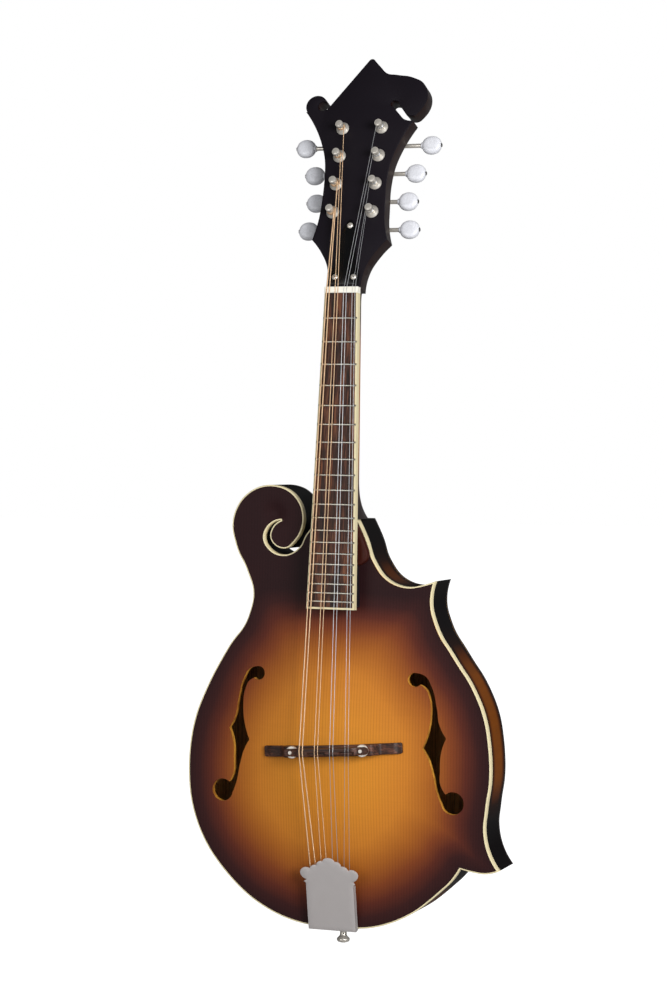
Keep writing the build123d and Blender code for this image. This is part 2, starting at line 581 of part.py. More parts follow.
def make_fingerboard():
    """Fingerboard with its binding, frets, side dots, nut and the riser under its end."""
    end_half = board_half_width(BOARD_LENGTH)
    inset = BOARD_BINDING
    full = Polygon(
        (-NUT_WIDTH / 2, 0), (-end_half, -BOARD_LENGTH), (end_half, -BOARD_LENGTH), (NUT_WIDTH / 2, 0),
        align=None,
    )
    core = Polygon(
        (inset - NUT_WIDTH / 2, 0), (inset - end_half, inset - BOARD_LENGTH),
        (end_half - inset, inset - BOARD_LENGTH), (NUT_WIDTH / 2 - inset, 0),
        align=None,
    )
    board = on_plane(BOARD_PLANE, core, -BOARD, 0)
    binding = on_plane(BOARD_PLANE, full - core, -BOARD, 0)

    frets = []
    for number in range(1, FRETS + 1):
        distance = SCALE * (1 - 2 ** (-number / 12))
        half = board_half_width(distance) - FRET_INSET
        profile = make_face(
            ThreePointArc((-FRET_CROWN[0] / 2, 0), (0, FRET_CROWN[1]), (FRET_CROWN[0] / 2, 0))
            + Line((FRET_CROWN[0] / 2, 0), (-FRET_CROWN[0] / 2, 0))
        )
        across = Plane(
            BOARD_PLANE.from_local_coords((-half, -distance, 0)),
            x_dir=BOARD_PLANE.y_dir,
            z_dir=(1, 0, 0),
        )
        tang_half = half + FRET_INSET - 2 * BOARD_BINDING
        tang = BOARD_PLANE * Pos(0, -distance, -FRET_TANG[1] / 2) * Box(2 * tang_half, *FRET_TANG)
        board = board - tang
        frets.append(extrude(across * profile, amount=2 * half) + tang)

    dots = []
    for number in SIDE_DOT_FRETS:
        distance = SCALE * (1 - (2 ** (-number / 12) + 2 ** (-(number - 1) / 12)) / 2)
        half = board_half_width(distance)
        at = BOARD_PLANE * Pos(-half, -distance, -BOARD / 2) * Rot(0, 90, 0)
        binding = binding - at * Cylinder(SIDE_DOT[0] / 2, SIDE_DOT[2])
        dots.append(at * Pos(0, 0, SIDE_DOT[1] / 2 + GLUE) * Cylinder(SIDE_DOT[0] / 2, SIDE_DOT[1]))

    nut = nut_box(0)
    for path, diameter in zip(string_paths(), STRING_DIAMETERS):
        for start, end in zip(path, path[1:]):
            nut = nut - rod(start, end, diameter + STRING_SLOT)

    front_y = board_depth_at(0) - RIM_DEPTH
    riser_end = NUT_Z - (BOARD_LENGTH - RISER_INSET[1]) * cos(PITCH)
    wedge_box = Box(2 * ARCH_HALF_WIDTH, 2 * BOARD_LENGTH, 2 * RIM_DEPTH)
    wedge = BOARD_PLANE * Pos(0, -BOARD_LENGTH / 2, -BOARD - GLUE - RIM_DEPTH) * wedge_box
    strip_half = end_half - RISER_INSET[0]
    neck_half = NUT_WIDTH / 2 + RISER_LAP
    strip_plan = Polygon(
        (-strip_half, riser_end), (strip_half, riser_end),
        (neck_half, BODY_TOP_Z - GLUE), (-neck_half, BODY_TOP_Z - GLUE),
        align=None,
    )
    strip = slab(strip_plan, front_y, 0)
    above = Solid.extrude(arch_face(FRONT, TOP_RISE, -1).moved(Pos(0, -GLUE, 0)), Vector(0, -RIM_DEPTH, 0))
    riser = strip & wedge & above
    shoulder = slab(outline_face(SHOULDER_RUNS), FRONT - SHOULDER, 0) & above
    riser = riser + shoulder
    return {
        "fingerboard": board,
        "fingerboard_binding": binding,
        "frets": group(frets),
        "side_dots": group(dots),
        "nut": nut,
        "fingerboard_riser": riser,
    }


# ---- strings -------------------------------------------------------------------------------------
def string_paths():
    """For each string, bass to treble: post, nut, saddle and hook points of its middle line."""
    paths = []
    for i, diameter in enumerate(STRING_DIAMETERS):
        course, member = divmod(i, 2)
        pair = member - 0.5
        nut_x = (course - 1.5) * COURSE_AT_NUT + pair * PAIR_AT_NUT
        bridge_x = (course - 1.5) * COURSE_AT_BRIDGE + pair * PAIR_AT_BRIDGE
        hook_x = (i - 3.5) * HOOK_PITCH
        side = -1 if i < 4 else 1
        rank = (0, 1, 2, 3, 3, 2, 1, 0)[i]
        post_t = POST_FIRST + rank * POST_PITCH
        post_x = side * (POST_ROW - POST / 2 - diameter / 2 - LOOSE)
        post_point = HEAD_PLANE.from_local_coords((post_x, post_t, STRING_ON_POST))
        nut_point = BOARD_PLANE.from_local_coords((nut_x, NUT / 2, NUT_PROUD - NUT_SLOT_DEPTH))
        hook_point = Vector(hook_x, HOOK_Y, HOOK_Z)
        saddle_z = BRIDGE_Z + bridge_x * tan(radians(BRIDGE_SLANT))
        paths.append([post_point, nut_point, Vector(bridge_x, STRING_Y, saddle_z), hook_point])
    return paths


def make_strings():
    """Four wound and four plain strings, each from its post over nut and saddle to its hook."""
    strings = []
    for path, diameter in zip(string_paths(), STRING_DIAMETERS):
        string = rod(path[0], path[1], diameter)
        for start, end in zip(path[1:], path[2:]):
            string = string + rod(start, end, diameter)
        for corner in path[1:3]:
            string = string + Pos(*corner) * Sphere(diameter / 2)
        strings.append(string)
    return {"wound_strings": group(strings[:4]), "plain_strings": group(strings[4:])}


# ---- bridge --------------------------------------------------------------------------------------
def slanted(shape):
    """A bridge part made square to the body, turned to the bridge's slant."""
    return Pos(0, 0, BRIDGE_Z) * Rot(0, -BRIDGE_SLANT, 0) * Pos(0, 0, -BRIDGE_Z) * shape


def bridge_bar(profile, width):
    """A bar across the body, from its outline seen from the tail."""
    return extrude(Plane.XY.offset(BRIDGE_Z - width / 2) * profile, amount=width)


def stud_bar(side, back_y, front_y, diameter):
    """A round bar on one stud's axis, between two depths; side is -1 for bass and 1 for treble."""
    x = side * STUD_SPREAD
    return slanted(rod((x, back_y, BRIDGE_Z), (x, front_y, BRIDGE_Z), diameter))


def make_bridge():
    """Two-footed base with studs, thumbwheels and the saddle that they carry."""
    half = BRIDGE_LENGTH / 2
    slope_end = BRIDGE_HIGH + BRIDGE_FALL
    tip_y = FRONT - arch_height(half, BRIDGE_Z, TOP_RISE) - BRIDGE_TIP
    wing_y = FRONT - arch_height(slope_end, BRIDGE_Z, TOP_RISE) - BRIDGE_TIP
    profile = Polygon(
        (-half, FRONT), (-half, tip_y), (-slope_end, wing_y), (-BRIDGE_HIGH, BASE_TOP_Y),
        (BRIDGE_HIGH, BASE_TOP_Y), (slope_end, wing_y), (half, tip_y), (half, FRONT), align=None,
    )
    above = Solid.extrude(arch_face(FRONT, TOP_RISE, -1).moved(Pos(0, -GLUE, 0)), Vector(0, -RIM_DEPTH, 0))
    arch_gap = box_between(
        (-BRIDGE_FOOT_START, CROWN_Y - BRIDGE_FOOT_GAP, BRIDGE_Z - BRIDGE_WIDTH),
        (BRIDGE_FOOT_START, FRONT, BRIDGE_Z + BRIDGE_WIDTH),
    )
    base = slanted(bridge_bar(profile, BRIDGE_WIDTH) - arch_gap) & above

    saddle_half = SADDLE[0] / 2
    end_y = SADDLE_BACK_Y - SADDLE_END[0]
    shelf = saddle_half - SADDLE_END[1]
    saddle_profile = Polygon(
        (-saddle_half, SADDLE_BACK_Y), (-saddle_half, end_y), (-shelf, end_y), (-SADDLE_CREST, STRING_Y),
        (SADDLE_CREST, STRING_Y), (shelf, end_y), (saddle_half, end_y), (saddle_half, SADDLE_BACK_Y),
        align=None,
    )
    saddle = slanted(bridge_bar(saddle_profile, SADDLE[1]))
    for path, diameter in zip(string_paths(), STRING_DIAMETERS):
        for start, end in zip(path[1:], path[2:]):
            saddle = saddle - rod(start, end, diameter + STRING_SLOT)

    studs = []
    wheels = []
    stud_tip = SADDLE_BACK_Y - STUD_IN_SADDLE
    for side in (-1, 1):
        stud = stud_bar(side, BASE_TOP_Y + STUD_IN_BASE, stud_tip, STUD)
        base = base - stud
        saddle = saddle - stud_bar(side, FRONT, stud_tip - STUD_TIP_ROOM, STUD + 2 * RUNNING)
        wheel = stud_bar(side, WHEEL_BACK_Y, WHEEL_BACK_Y - THUMBWHEEL[1], THUMBWHEEL[0])
        wheels.append(wheel - stud_bar(side, FRONT, STRING_Y, STUD + 2 * RUNNING))
        studs.append(stud)
    return {
        "bridge_base": base,
        "bridge_studs": group(studs),
        "bridge_saddle": saddle,
        "thumbwheel_bass": wheels[0],
        "thumbwheel_treble": wheels[1],
    }


# ---- tailpiece -----------------------------------------------------------------------------------
def tail_screw_shanks():
    """The shanks of the screws that hold the tailpiece to the tail block."""
    start = -TAILPIECE_SHEET - GLUE
    return [rod((x, y, start), (x, y, TAIL_SCREW[3]), TAIL_SCREW[0]) for x, y in TAIL_SCREWS]


def strap_pin():
    """The strap button's pin, from its outer end into the tail block."""
    return rod((0, 0, STRAP_PIN[3]), (0, 0, -STRAP_PIN[0]), STRAP_PIN[1])


def make_tailpiece():
    """Bent base plate with string hooks, its screws, the strap button and the sliding cover."""
    sheet = TAILPIECE_SHEET
    half = TAILPIECE_WIDTH / 2 - 2 * sheet
    leg = box_between((-half, FRONT - sheet, -sheet - GLUE), (half, TAIL_LEG, -GLUE))
    ramp_side = Polygon(
        (FRONT - GLUE, -sheet - GLUE), (RAMP_Y + sheet, RAMP_END[1]), (RAMP_Y, RAMP_END[1]),
        (FRONT - GLUE - sheet, -sheet - GLUE), align=None,
    )
    ramp = extrude(Plane.YZ.offset(-half) * ramp_side, amount=2 * half)
    plate = leg + ramp
    for i in range(8):
        x = (i - 3.5) * HOOK_PITCH
        foot_y = RAMP_Y + sheet / 2
        foot_z = HOOK_Z - HOOK_DROP
        tip_y = HOOK_Y - LOOSE
        plate = plate + rod((x, foot_y, foot_z), (x, tip_y, foot_z), HOOK)
        plate = plate + Pos(x, tip_y, foot_z) * Sphere(HOOK_BALL)

    screws = []
    for (x, y), shank in zip(TAIL_SCREWS, tail_screw_shanks()):
        cap = rod((x, y, -sheet - GLUE), (x, y, -sheet - GLUE - TAIL_SCREW[2]), TAIL_SCREW[1])
        plate = plate - shank
        screws.append(shank + cap)
    neck_part = strap_pin()
    flange = rod((0, 0, -sheet - 2 * GLUE), (0, 0, -sheet - STRAP_FLANGE[1]), STRAP_FLANGE[0])
    knob = rod((0, 0, STRAP_HEAD[0] - STRAP_PIN[0]), (0, 0, -STRAP_PIN[0]), STRAP_PIN[2])
    knob = fillet(knob.edges().filter_by(GeomType.CIRCLE), STRAP_HEAD[1])
    strap_button = neck_part + flange + knob
    plate = plate - neck_part

    outline = tailpiece_cover_face()
    cover_lean = atan2(COVER_RISE, TAILPIECE_LENGTH)
    cover_plane = Plane(
        (0, FRONT - COVER_START[0], COVER_START[1]), x_dir=(1, 0, 0), z_dir=(0, -cos(cover_lean), -sin(cover_lean)))
    cover = on_plane(cover_plane, outline, 0, sheet)
    for side in (-1, 1):
        wall_x = side * (TAILPIECE_WIDTH - sheet) / 2
        wall = Pos(wall_x, COVER_WALL[0] / 2, (sheet - COVER_WALL[1]) / 2)
        cover = cover + cover_plane * wall * Box(sheet, COVER_WALL[0], COVER_WALL[1] + sheet)
    return {
        "tailpiece_base": plate,
        "tailpiece_screws": group(screws),
        "strap_button": strap_button,
        "tailpiece_cover": cover,
    }


def tailpiece_cover_face():
    """The cover's front with its scalloped crest, as a flat face."""
    half = TAILPIECE_WIDTH / 2
    side = TAILPIECE_LENGTH - COVER_CREST
    right = [
        [(half, 0), (half, side)],
        [(half, side), (half + 1.6, side + 1.4)],
        [(half + 1.6, side + 1.4), (half - 0.9, side + 3.0)],
        [(half - 0.9, side + 3.0), (half + 2.4, side + 4.6), (half + 4.2, side + 9.2),
         (half + 0.6, side + 12.8), (half - 3.8, side + 12.2)],
        [(half - 3.8, side + 12.2), (half - 6.6, side + 15.0), (half - 9.4, side + 15.2)],
        [(half - 9.4, side + 15.2), (half - 11.6, side + 18.4), (half - 14.6, side + 18.6)],
        [(half - 14.6, side + 18.6), (half - 16.8, side + 21.0), (0, side + COVER_CREST)],
    ]
    left = [[(-x, v) for x, v in reversed(run)] for run in reversed(right)]
    return outline_face(right + left + [[(-half, 0), (half, 0)]])


# ---- tuners --------------------------------------------------------------------------------------
def worm_solid(length):
    """A rounded single thread: a circle set off centre and twisted once for each tooth pitch."""
    lead = pi * GEAR_MODULE
    root = WORM_RADIUS - GEAR_MODULE
    section = Pos((WORM_TIP - root) / 2, 0) * Circle((WORM_TIP + root) / 2)
    return Solid.extrude_linear_with_rotation(
        section.face(), (0, 0, 0), (0, 0, length), 360 * length / lead)


def gear_solid():
    """A spur gear with pointed teeth that run in the worm's thread."""
    root = GEAR_RADIUS - GEAR_MODULE
    tip = WORM_OFFSET - (WORM_RADIUS - GEAR_MODULE) - GEAR_CLEARANCE
    foot, middle, end = (thickness / 2 for thickness in GEAR_TOOTH)
    tooth = Polygon(
        (root - LOOSE, -foot), (GEAR_RADIUS, -middle), (tip, -end), (tip, end), (GEAR_RADIUS, middle),
        (root - LOOSE, foot), align=None,
    )
    face = Circle(root) + [Rot(0, 0, 360 * i / GEAR_TEETH - 90) * tooth for i in range(GEAR_TEETH)]
    blank = extrude(face, amount=GEAR_WIDTH)
    return Pos(0, 0, -GEAR_WIDTH / 2) * blank


def make_tuner(number, x, t):
    """One tuner: button with worm shaft, and the post with its gear and screw."""
    side = 1 if x > 0 else -1
    rank = (number - 1) % 4
    reach = BUTTON_REACH[rank]
    worm_t = t - WORM_OFFSET
    axis = HEAD_PLANE * Pos(x, worm_t, WORM_Z) * Rot(0, 90 * side, 0)

    phase = 180 + 180 * WORM_LENGTH / (pi * GEAR_MODULE)
    worm = Rot(0, 0, 90 - phase) * worm_solid(WORM_LENGTH)
    worm = Pos(0, 0, -WORM_LENGTH / 2) * worm
    inner = -WORM_LENGTH / 2 - LOOSE - PLATE_EAR - SHAFT_ENDS[0]
    button_middle = reach - abs(x)
    outer = button_middle + SHAFT_ENDS[1]
    shaft = Pos(0, 0, (inner + outer) / 2) * Cylinder(WORM_SHAFT / 2, outer - inner)
    worm_shaft = axis * (worm + shaft)

    blank = extrude(Plane.YZ * Ellipse(BUTTON[1] / 2, BUTTON[0] / 2), amount=BUTTON[2] / 2, both=True)
    blank = fillet(blank.edges(), BUTTON_ROUND)
    collar = Pos(0, 0, -BUTTON[0] / 2) * Cylinder(BUTTON_COLLAR[0] / 2, BUTTON_COLLAR[1])
    button = Pos(0, 0, button_middle) * (blank + collar)
    bore = Cylinder(WORM_SHAFT / 2 + GLUE, outer - inner + 2 * GLUE)
    button = button - Pos(0, 0, (inner + outer) / 2) * bore

    at = HEAD_PLANE * Pos(x, t, 0)
    spigot = POST_SPIGOT
    spigot_top = WORM_Z + GEAR_WIDTH / 2
    barrel = Pos(0, 0, (POST_PROUD + spigot_top) / 2) * Cylinder(POST / 2, POST_PROUD - spigot_top)
    waist = Pos(0, 0, STRING_ON_POST) * (Cylinder(POST, POST_WAIST[1]) - Cylinder(POST / 2 - POST_WAIST[0], POST_WAIST[1]))
    string_hole = Pos(0, 0, STRING_ON_POST) * Rot(90, 0, 0) * Cylinder(POST_HOLE / 2, 2 * POST)
    tail = Pos(0, 0, WORM_Z) * Cylinder(spigot / 2, GEAR_WIDTH + 2 * GLUE)
    post = barrel - waist - string_hole + tail
    gear = Pos(0, 0, WORM_Z) * (gear_solid() - Cylinder(spigot / 2 + GLUE, 2 * GEAR_WIDTH))
    screw_face = WORM_Z - GEAR_WIDTH / 2 - 2 * GLUE
    screw = Pos(0, 0, screw_face - GEAR_SCREW[1] / 2) * Cylinder(GEAR_SCREW[0] / 2, GEAR_SCREW[1])
    shank_at = Pos(0, 0, screw_face + GEAR_SCREW[3] / 2)
    screw = screw + shank_at * Cylinder(GEAR_SCREW[2] / 2, GEAR_SCREW[3])
    post = post - shank_at * Cylinder(GEAR_SCREW[2] / 2 + GLUE, GEAR_SCREW[3] + 2 * GLUE)
    gear_post = group([at * post, at * gear, at * screw])
    return {
        f"tuner_button_{number}": axis * button,
        f"tuner_worm_{number}": worm_shaft,
        f"tuner_post_{number}": gear_post,
    }


def make_tuner_hardware():
    """Both back plates with their bearing ears, the plate screws and the front bushings."""
    plates = {}
    low_t = plate_screw_places()[0][1] - TUNER_PLATE_END[0]
    high_t = plate_screw_places()[-1][1] + TUNER_PLATE_END[0]
    for side, name in ((-1, "tuner_plate_bass"), (1, "tuner_plate_treble")):
        middle_t = (low_t + high_t) / 2
        outline = RectangleRounded(TUNER_PLATE_WIDTH, high_t - low_t, TUNER_PLATE_END[1])
        plate = on_plane(
            HEAD_PLANE, Pos(side * POST_ROW, middle_t) * outline, PLATE_BACK + GLUE, HEAD_BACK - GLUE)
        for x, t in post_places():
            if x * side < 0:
                continue
            plate = plate - HEAD_PLANE * Pos(x, t, PLATE_BACK) * Cylinder(POST / 2 + LOOSE, 4 * TUNER_PLATE)
            worm = HEAD_PLANE * Pos(x, t - WORM_OFFSET, WORM_Z)
            for end in (-1, 1):
                ear_x = end * (WORM_LENGTH / 2 + LOOSE + PLATE_EAR / 2)
                depth = PLATE_BACK - WORM_Z + EAR / 2
                ear = worm * Pos(ear_x, 0, depth / 2 - EAR / 2 + EAR_ROOT) * Box(PLATE_EAR, EAR, depth)
                plate = plate + ear
            plate = plate - worm * Rot(0, 90, 0) * Cylinder(WORM_SHAFT / 2 + RUNNING, 4 * WORM_LENGTH)
        for x, t in plate_screw_places():
            if x * side > 0:
                plate = plate - tuner_screw(x, t)
        plates[name] = plate
    screws = group([tuner_screw(x, t) for x, t in plate_screw_places()])

    bushings = []
    for x, t in post_places():
        at = HEAD_PLANE * Pos(x, t, 0)
        collar = at * Pos(0, 0, BUSHING[2] / 2 + GLUE) * Cone(BUSHING[0] / 2, POST / 2 + BUSHING_LIP, BUSHING[2])
        barrel = at * Pos(0, 0, -BUSHING_BARREL / 2 + GLUE) * Cylinder(BUSHING[1] / 2, BUSHING_BARREL)
        bore = at * Cylinder(POST / 2 + RUNNING, 4 * BUSHING_BARREL)
        bushings.append(collar + barrel - bore)
    return {**plates, "tuner_plate_screws": screws, "post_bushings": group(bushings)}


# ---- the whole instrument ------------------------------------------------------------------------
def make_mandolin():
    """Every node of the mandolin by name."""
    nodes = make_body()
    nodes.update(make_neck())
    nodes.update(make_truss_cover())
    nodes.update(make_fingerboard())
    nodes.update(make_bridge())
    nodes.update(make_tailpiece())
    nodes.update(make_strings())
    nodes.update(make_tuner_hardware())
    for number, (x, t) in enumerate(post_places(), start=1):
        nodes.update(make_tuner(number, x, t))
    return nodes


os.makedirs("parts", exist_ok=True)
for node_name, node_shape in make_mandolin().items():
    export_step(node_shape, f"parts/{node_name}.step")
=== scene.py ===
"""An arched-top mandolin with a scroll, eight strings and a carved headstock, dressed around its frame.

Sizes are in millimetres and become metres where a mesh is made. +Z runs up the neck, -Y is the front and +X
the treble side. The origin is where the strap button meets the tail, half way through the rim's depth.
"""
import logging
import math
from collections.abc import Callable
from dataclasses import dataclass, field
from enum import Enum

import bmesh
import bpy
import numpy as np
from mathutils import Matrix, Vector
from mathutils.geometry import delaunay_2d_cdt


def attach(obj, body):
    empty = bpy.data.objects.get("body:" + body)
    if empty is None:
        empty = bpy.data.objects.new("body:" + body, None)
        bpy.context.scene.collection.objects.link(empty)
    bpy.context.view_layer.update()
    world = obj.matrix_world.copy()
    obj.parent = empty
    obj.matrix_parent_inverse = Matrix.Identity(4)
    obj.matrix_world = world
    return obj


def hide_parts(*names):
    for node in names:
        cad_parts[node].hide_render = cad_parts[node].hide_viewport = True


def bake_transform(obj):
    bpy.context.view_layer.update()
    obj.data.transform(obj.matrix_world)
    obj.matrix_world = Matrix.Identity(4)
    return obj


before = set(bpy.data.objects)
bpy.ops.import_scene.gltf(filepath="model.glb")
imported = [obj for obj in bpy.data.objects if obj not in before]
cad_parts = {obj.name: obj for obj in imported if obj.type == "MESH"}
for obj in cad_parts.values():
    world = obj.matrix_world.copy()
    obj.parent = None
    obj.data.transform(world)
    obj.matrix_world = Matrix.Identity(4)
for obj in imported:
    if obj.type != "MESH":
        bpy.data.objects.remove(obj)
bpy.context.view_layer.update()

log = logging.getLogger("mandolin")
MM = 0.001
ROOT = "mandolin_body"
TREBLE, BASS = 1, -1
SIDES = (BASS, TREBLE)

TINY = 1e-12                    # keeps a division off zero
SAME = 1e-3                     # flat points nearer than this, in millimetres, are one point
STRAIGHT = 1e-4                 # a chord that turns less than this from its heading is straight
WELD, SLIVER = 4e-6, 1e-7       # points to join and edges to drop, in metres
ASKEW = (0.13, 0.21, 0.97)      # a direction that no turned piece's axis runs along

Loop = np.ndarray
Points = np.ndarray
Faces = list
Piece = bpy.types.Object
Tree = bpy.types.NodeTree
Socket = bpy.types.NodeSocket
Height = Callable[[Points], np.ndarray] | float


# ---- shapes ----------------------------------------------------------------------------------------
def segment_distance(points: Points, loop: Loop) -> np.ndarray:
    """Shortest distance from each flat point to a closed chain of straight segments.

    Args:
        points: n flat points.
        loop: the chain's corners, without the first one repeated.

    Returns:
        n distances. Each is the least length from the point to its foot on any segment.
    """
    span = np.roll(loop, -1, axis=0) - loop
    length = np.maximum((span ** 2).sum(1), TINY)
    found = []
    for part in np.array_split(points, max(1, len(points) // 500)):
        away = part[:, None] - loop[None]
        share = np.clip((away * span).sum(2) / length, 0, 1)
        found.append(np.sqrt(((away - share[..., None] * span) ** 2).sum(2)).min(1))
    return np.concatenate(found)


def is_inside(points: Points, loop: Loop) -> np.ndarray:
    """Whether each flat point lies inside a closed chain.

    A ray to the right of such a point crosses the chain an odd number of times.

    Args:
        points: n flat points.
        loop: the chain's corners.

    Returns:
        n truth values.
    """
    x1, y1 = loop.T
    x2, y2 = np.roll(loop, -1, axis=0).T
    rise = np.where(np.abs(y2 - y1) < TINY, TINY, y2 - y1)
    found = []
    for part in np.array_split(points, max(1, len(points) // 2000)):
        x, y = part[:, :1], part[:, 1:]
        between = (y1 > y) != (y2 > y)
        cross = x < (x2 - x1) * (y - y1) / rise + x1
        found.append((between & cross).sum(1) % 2 == 1)
    return np.concatenate(found)


def smoothstep(low: float, high: float, value: np.ndarray) -> np.ndarray:
    """3t^2 - 2t^3, where t goes from 0 at low to 1 at high."""
    t = np.clip((value - low) / (high - low), 0, 1)
    return t * t * (3 - 2 * t)


def window(value: np.ndarray, opens: tuple, shuts: tuple) -> np.ndarray:
    """A soft window: smoothstep up over one pair of limits and down over the other.

    Args:
        value: where along the window.
        opens: where the rise starts and ends.
        shuts: where the fall starts and ends.

    Returns:
        0 outside, 1 in the middle.
    """
    return smoothstep(*opens, value) * (1 - smoothstep(*shuts, value))


def run_directions(points: Points) -> Points:
    """Tangent at each point of an open chain: that of the circle through it and its two neighbours.

    Args:
        points: the chain's flat points.

    Returns:
        Unit tangents. An end's tangent mirrors its neighbour's about the chord between them.
    """
    steps = np.diff(points, axis=0)
    lengths = np.hypot(*steps.T)
    units = steps / lengths[:, None]
    if len(steps) == 1:
        return np.vstack([units, units])
    middle = units[:-1] * lengths[1:, None] + units[1:] * lengths[:-1, None]
    middle /= np.hypot(*middle.T)[:, None]
    first = 2 * (middle[0] @ units[0]) * units[0] - middle[0]
    last = 2 * (middle[-1] @ units[-1]) * units[-1] - middle[-1]
    return np.vstack([first, middle, last])


def arc(start: Points, heading: Points, end: Points, step: float) -> tuple[Points, Points]:
    """Points and tangents of the circular arc that leaves start along heading and reaches end.

    The radius is chord^2 / 2(heading x chord), and the point at angle a is start + r sin(a) heading +
    r (1 - cos(a)) normal.

    Args:
        start: first flat point.
        heading: unit tangent there.
        end: last flat point.
        step: spacing of the points.

    Returns:
        The arc's points and unit tangents, both ends included.
    """
    chord = end - start
    turn = heading[0] * chord[1] - heading[1] * chord[0]
    count = max(2, int(math.ceil(np.hypot(*chord) / step)) + 1)
    share = np.linspace(0, 1, count)[:, None]
    if abs(turn) < STRAIGHT * np.hypot(*chord):
        return start + share * chord, np.repeat(heading[None], count, 0)
    radius = (chord @ chord) / (2 * turn)
    normal = np.array([-heading[1], heading[0]])
    angle = 2 * math.atan2(turn, heading @ chord) * share
    return (start + radius * (np.sin(angle) * heading + (1 - np.cos(angle)) * normal),
            np.cos(angle) * heading + np.sin(angle) * normal)


def run_samples(points: Points, step: float) -> tuple[Points, Points]:
    """Samples along tangent arcs through an open chain, two arcs for each step.

    Args:
        points: the chain's flat points.
        step: spacing of the samples.

    Returns:
        Points and unit tangents.
    """
    tangents = run_directions(points)
    found, headings = [], []
    for p, q, t, s in zip(points, points[1:], tangents, tangents[1:]):
        v = q - p
        along = v @ (t + s)
        bend = 2 * (1 - t @ s)
        square = v @ v
        reach = square / (2 * along) if bend < 1e-6 else (
            (-along + math.sqrt(along ** 2 + bend * square)) / bend)
        joint = (p + q + reach * (t - s)) / 2
        ahead, ahead_tangents = arc(p, t, joint, step)
        behind, behind_tangents = arc(q, -s, joint, step)
        found += [ahead[:-1], behind[::-1]]
        headings += [ahead_tangents[:-1], -behind_tangents[::-1]]
    return np.vstack(found), np.vstack(headings)


@dataclass
class Outline:
    """A closed chain of smooth runs that meet in corners, sampled with its inward normals.

    Args:
        runs: each run's control points. The inside is on the left.
        step: spacing of the samples.
        sharp: a corner that turns outwards by more than this, in radians, gets a fan of normals.
        fan: normals for each radian of such a corner.
        near: share of an inset depth below which a moved point is too near the outline.
    """

    runs: list
    step: float = 1.0
    sharp: float = 0.1
    fan: float = 6
    near: float = 0.97
    points: Points = field(init=False)
    normals: Points = field(init=False)

    def __post_init__(self) -> None:
        """Samples the runs, and adds a fan of normals at each corner that points into the shape."""
        places, normals = [], []
        sampled = [run_samples(np.array(run, float), self.step) for run in self.runs]
        for (points, tangents), (_, following) in zip(sampled, sampled[1:] + sampled[:1]):
            places.append(points)
            normals.append(np.stack([-tangents[:, 1], tangents[:, 0]], 1))
            here, ahead = tangents[-1], following[0]
            turn = math.atan2(here[0] * ahead[1] - here[1] * ahead[0], here @ ahead)
            if turn < -self.sharp:
                angle = np.linspace(0, turn, max(3, int(-turn * self.fan)))[1:-1]
                cos, sin = np.cos(angle), np.sin(angle)
                fan = np.stack([cos * here[0] - sin * here[1], sin * here[0] + cos * here[1]], 1)
                places.append(np.repeat(points[-1:], len(fan), 0))
                normals.append(np.stack([-fan[:, 1], fan[:, 0]], 1))
        self.points = np.vstack(places)
        self.normals = np.vstack(normals)

    @property
    def along(self) -> np.ndarray:
        """Length along the outline at each sample."""
        return np.concatenate([[0], np.cumsum(np.hypot(*np.diff(self.points, axis=0).T))])

    def inset(self, depth: float) -> Points:
        """The outline moved inwards, one point for each sample.

        A point that would come nearer than the depth to another stretch of the outline goes half way
        between its two nearest good neighbours, which makes the mitre of a pointed corner.

        Args:
            depth: how far to move, in millimetres.

        Returns:
            The moved points.
        """
        moved = self.points + depth * self.normals
        if depth == 0:
            return moved
        good = segment_distance(moved, self.points) > self.near * depth
        count = len(moved)
        index = np.arange(2 * count)
        twice = np.concatenate([good, good])
        before = np.maximum.accumulate(np.where(twice, index, 0))[count:] % count
        after = np.minimum.accumulate(np.where(twice, index, 2 * count)[::-1])[::-1][:count] % count
        return np.where(good[:, None], moved, (moved[before] + moved[after]) / 2)


def circle(x: float, y: float, radius: float, count: int = 48) -> Loop:
    """Points round a circle."""
    angle = np.linspace(0, 2 * np.pi, count, endpoint=False)
    return np.stack([x + radius * np.cos(angle), y + radius * np.sin(angle)], 1)


def without_doubles(loop: Loop) -> Loop:
    """A chain without the corners that repeat the one before."""
    away = np.hypot(*(loop - np.roll(loop, 1, axis=0)).T)
    return loop[away > SAME]


def mirrored(runs: list) -> list:
    """A symmetrical outline's other half: the runs from the last to the first, with x turned over."""
    return [[(-x, y) for x, y in reversed(run)] for run in reversed(runs)]


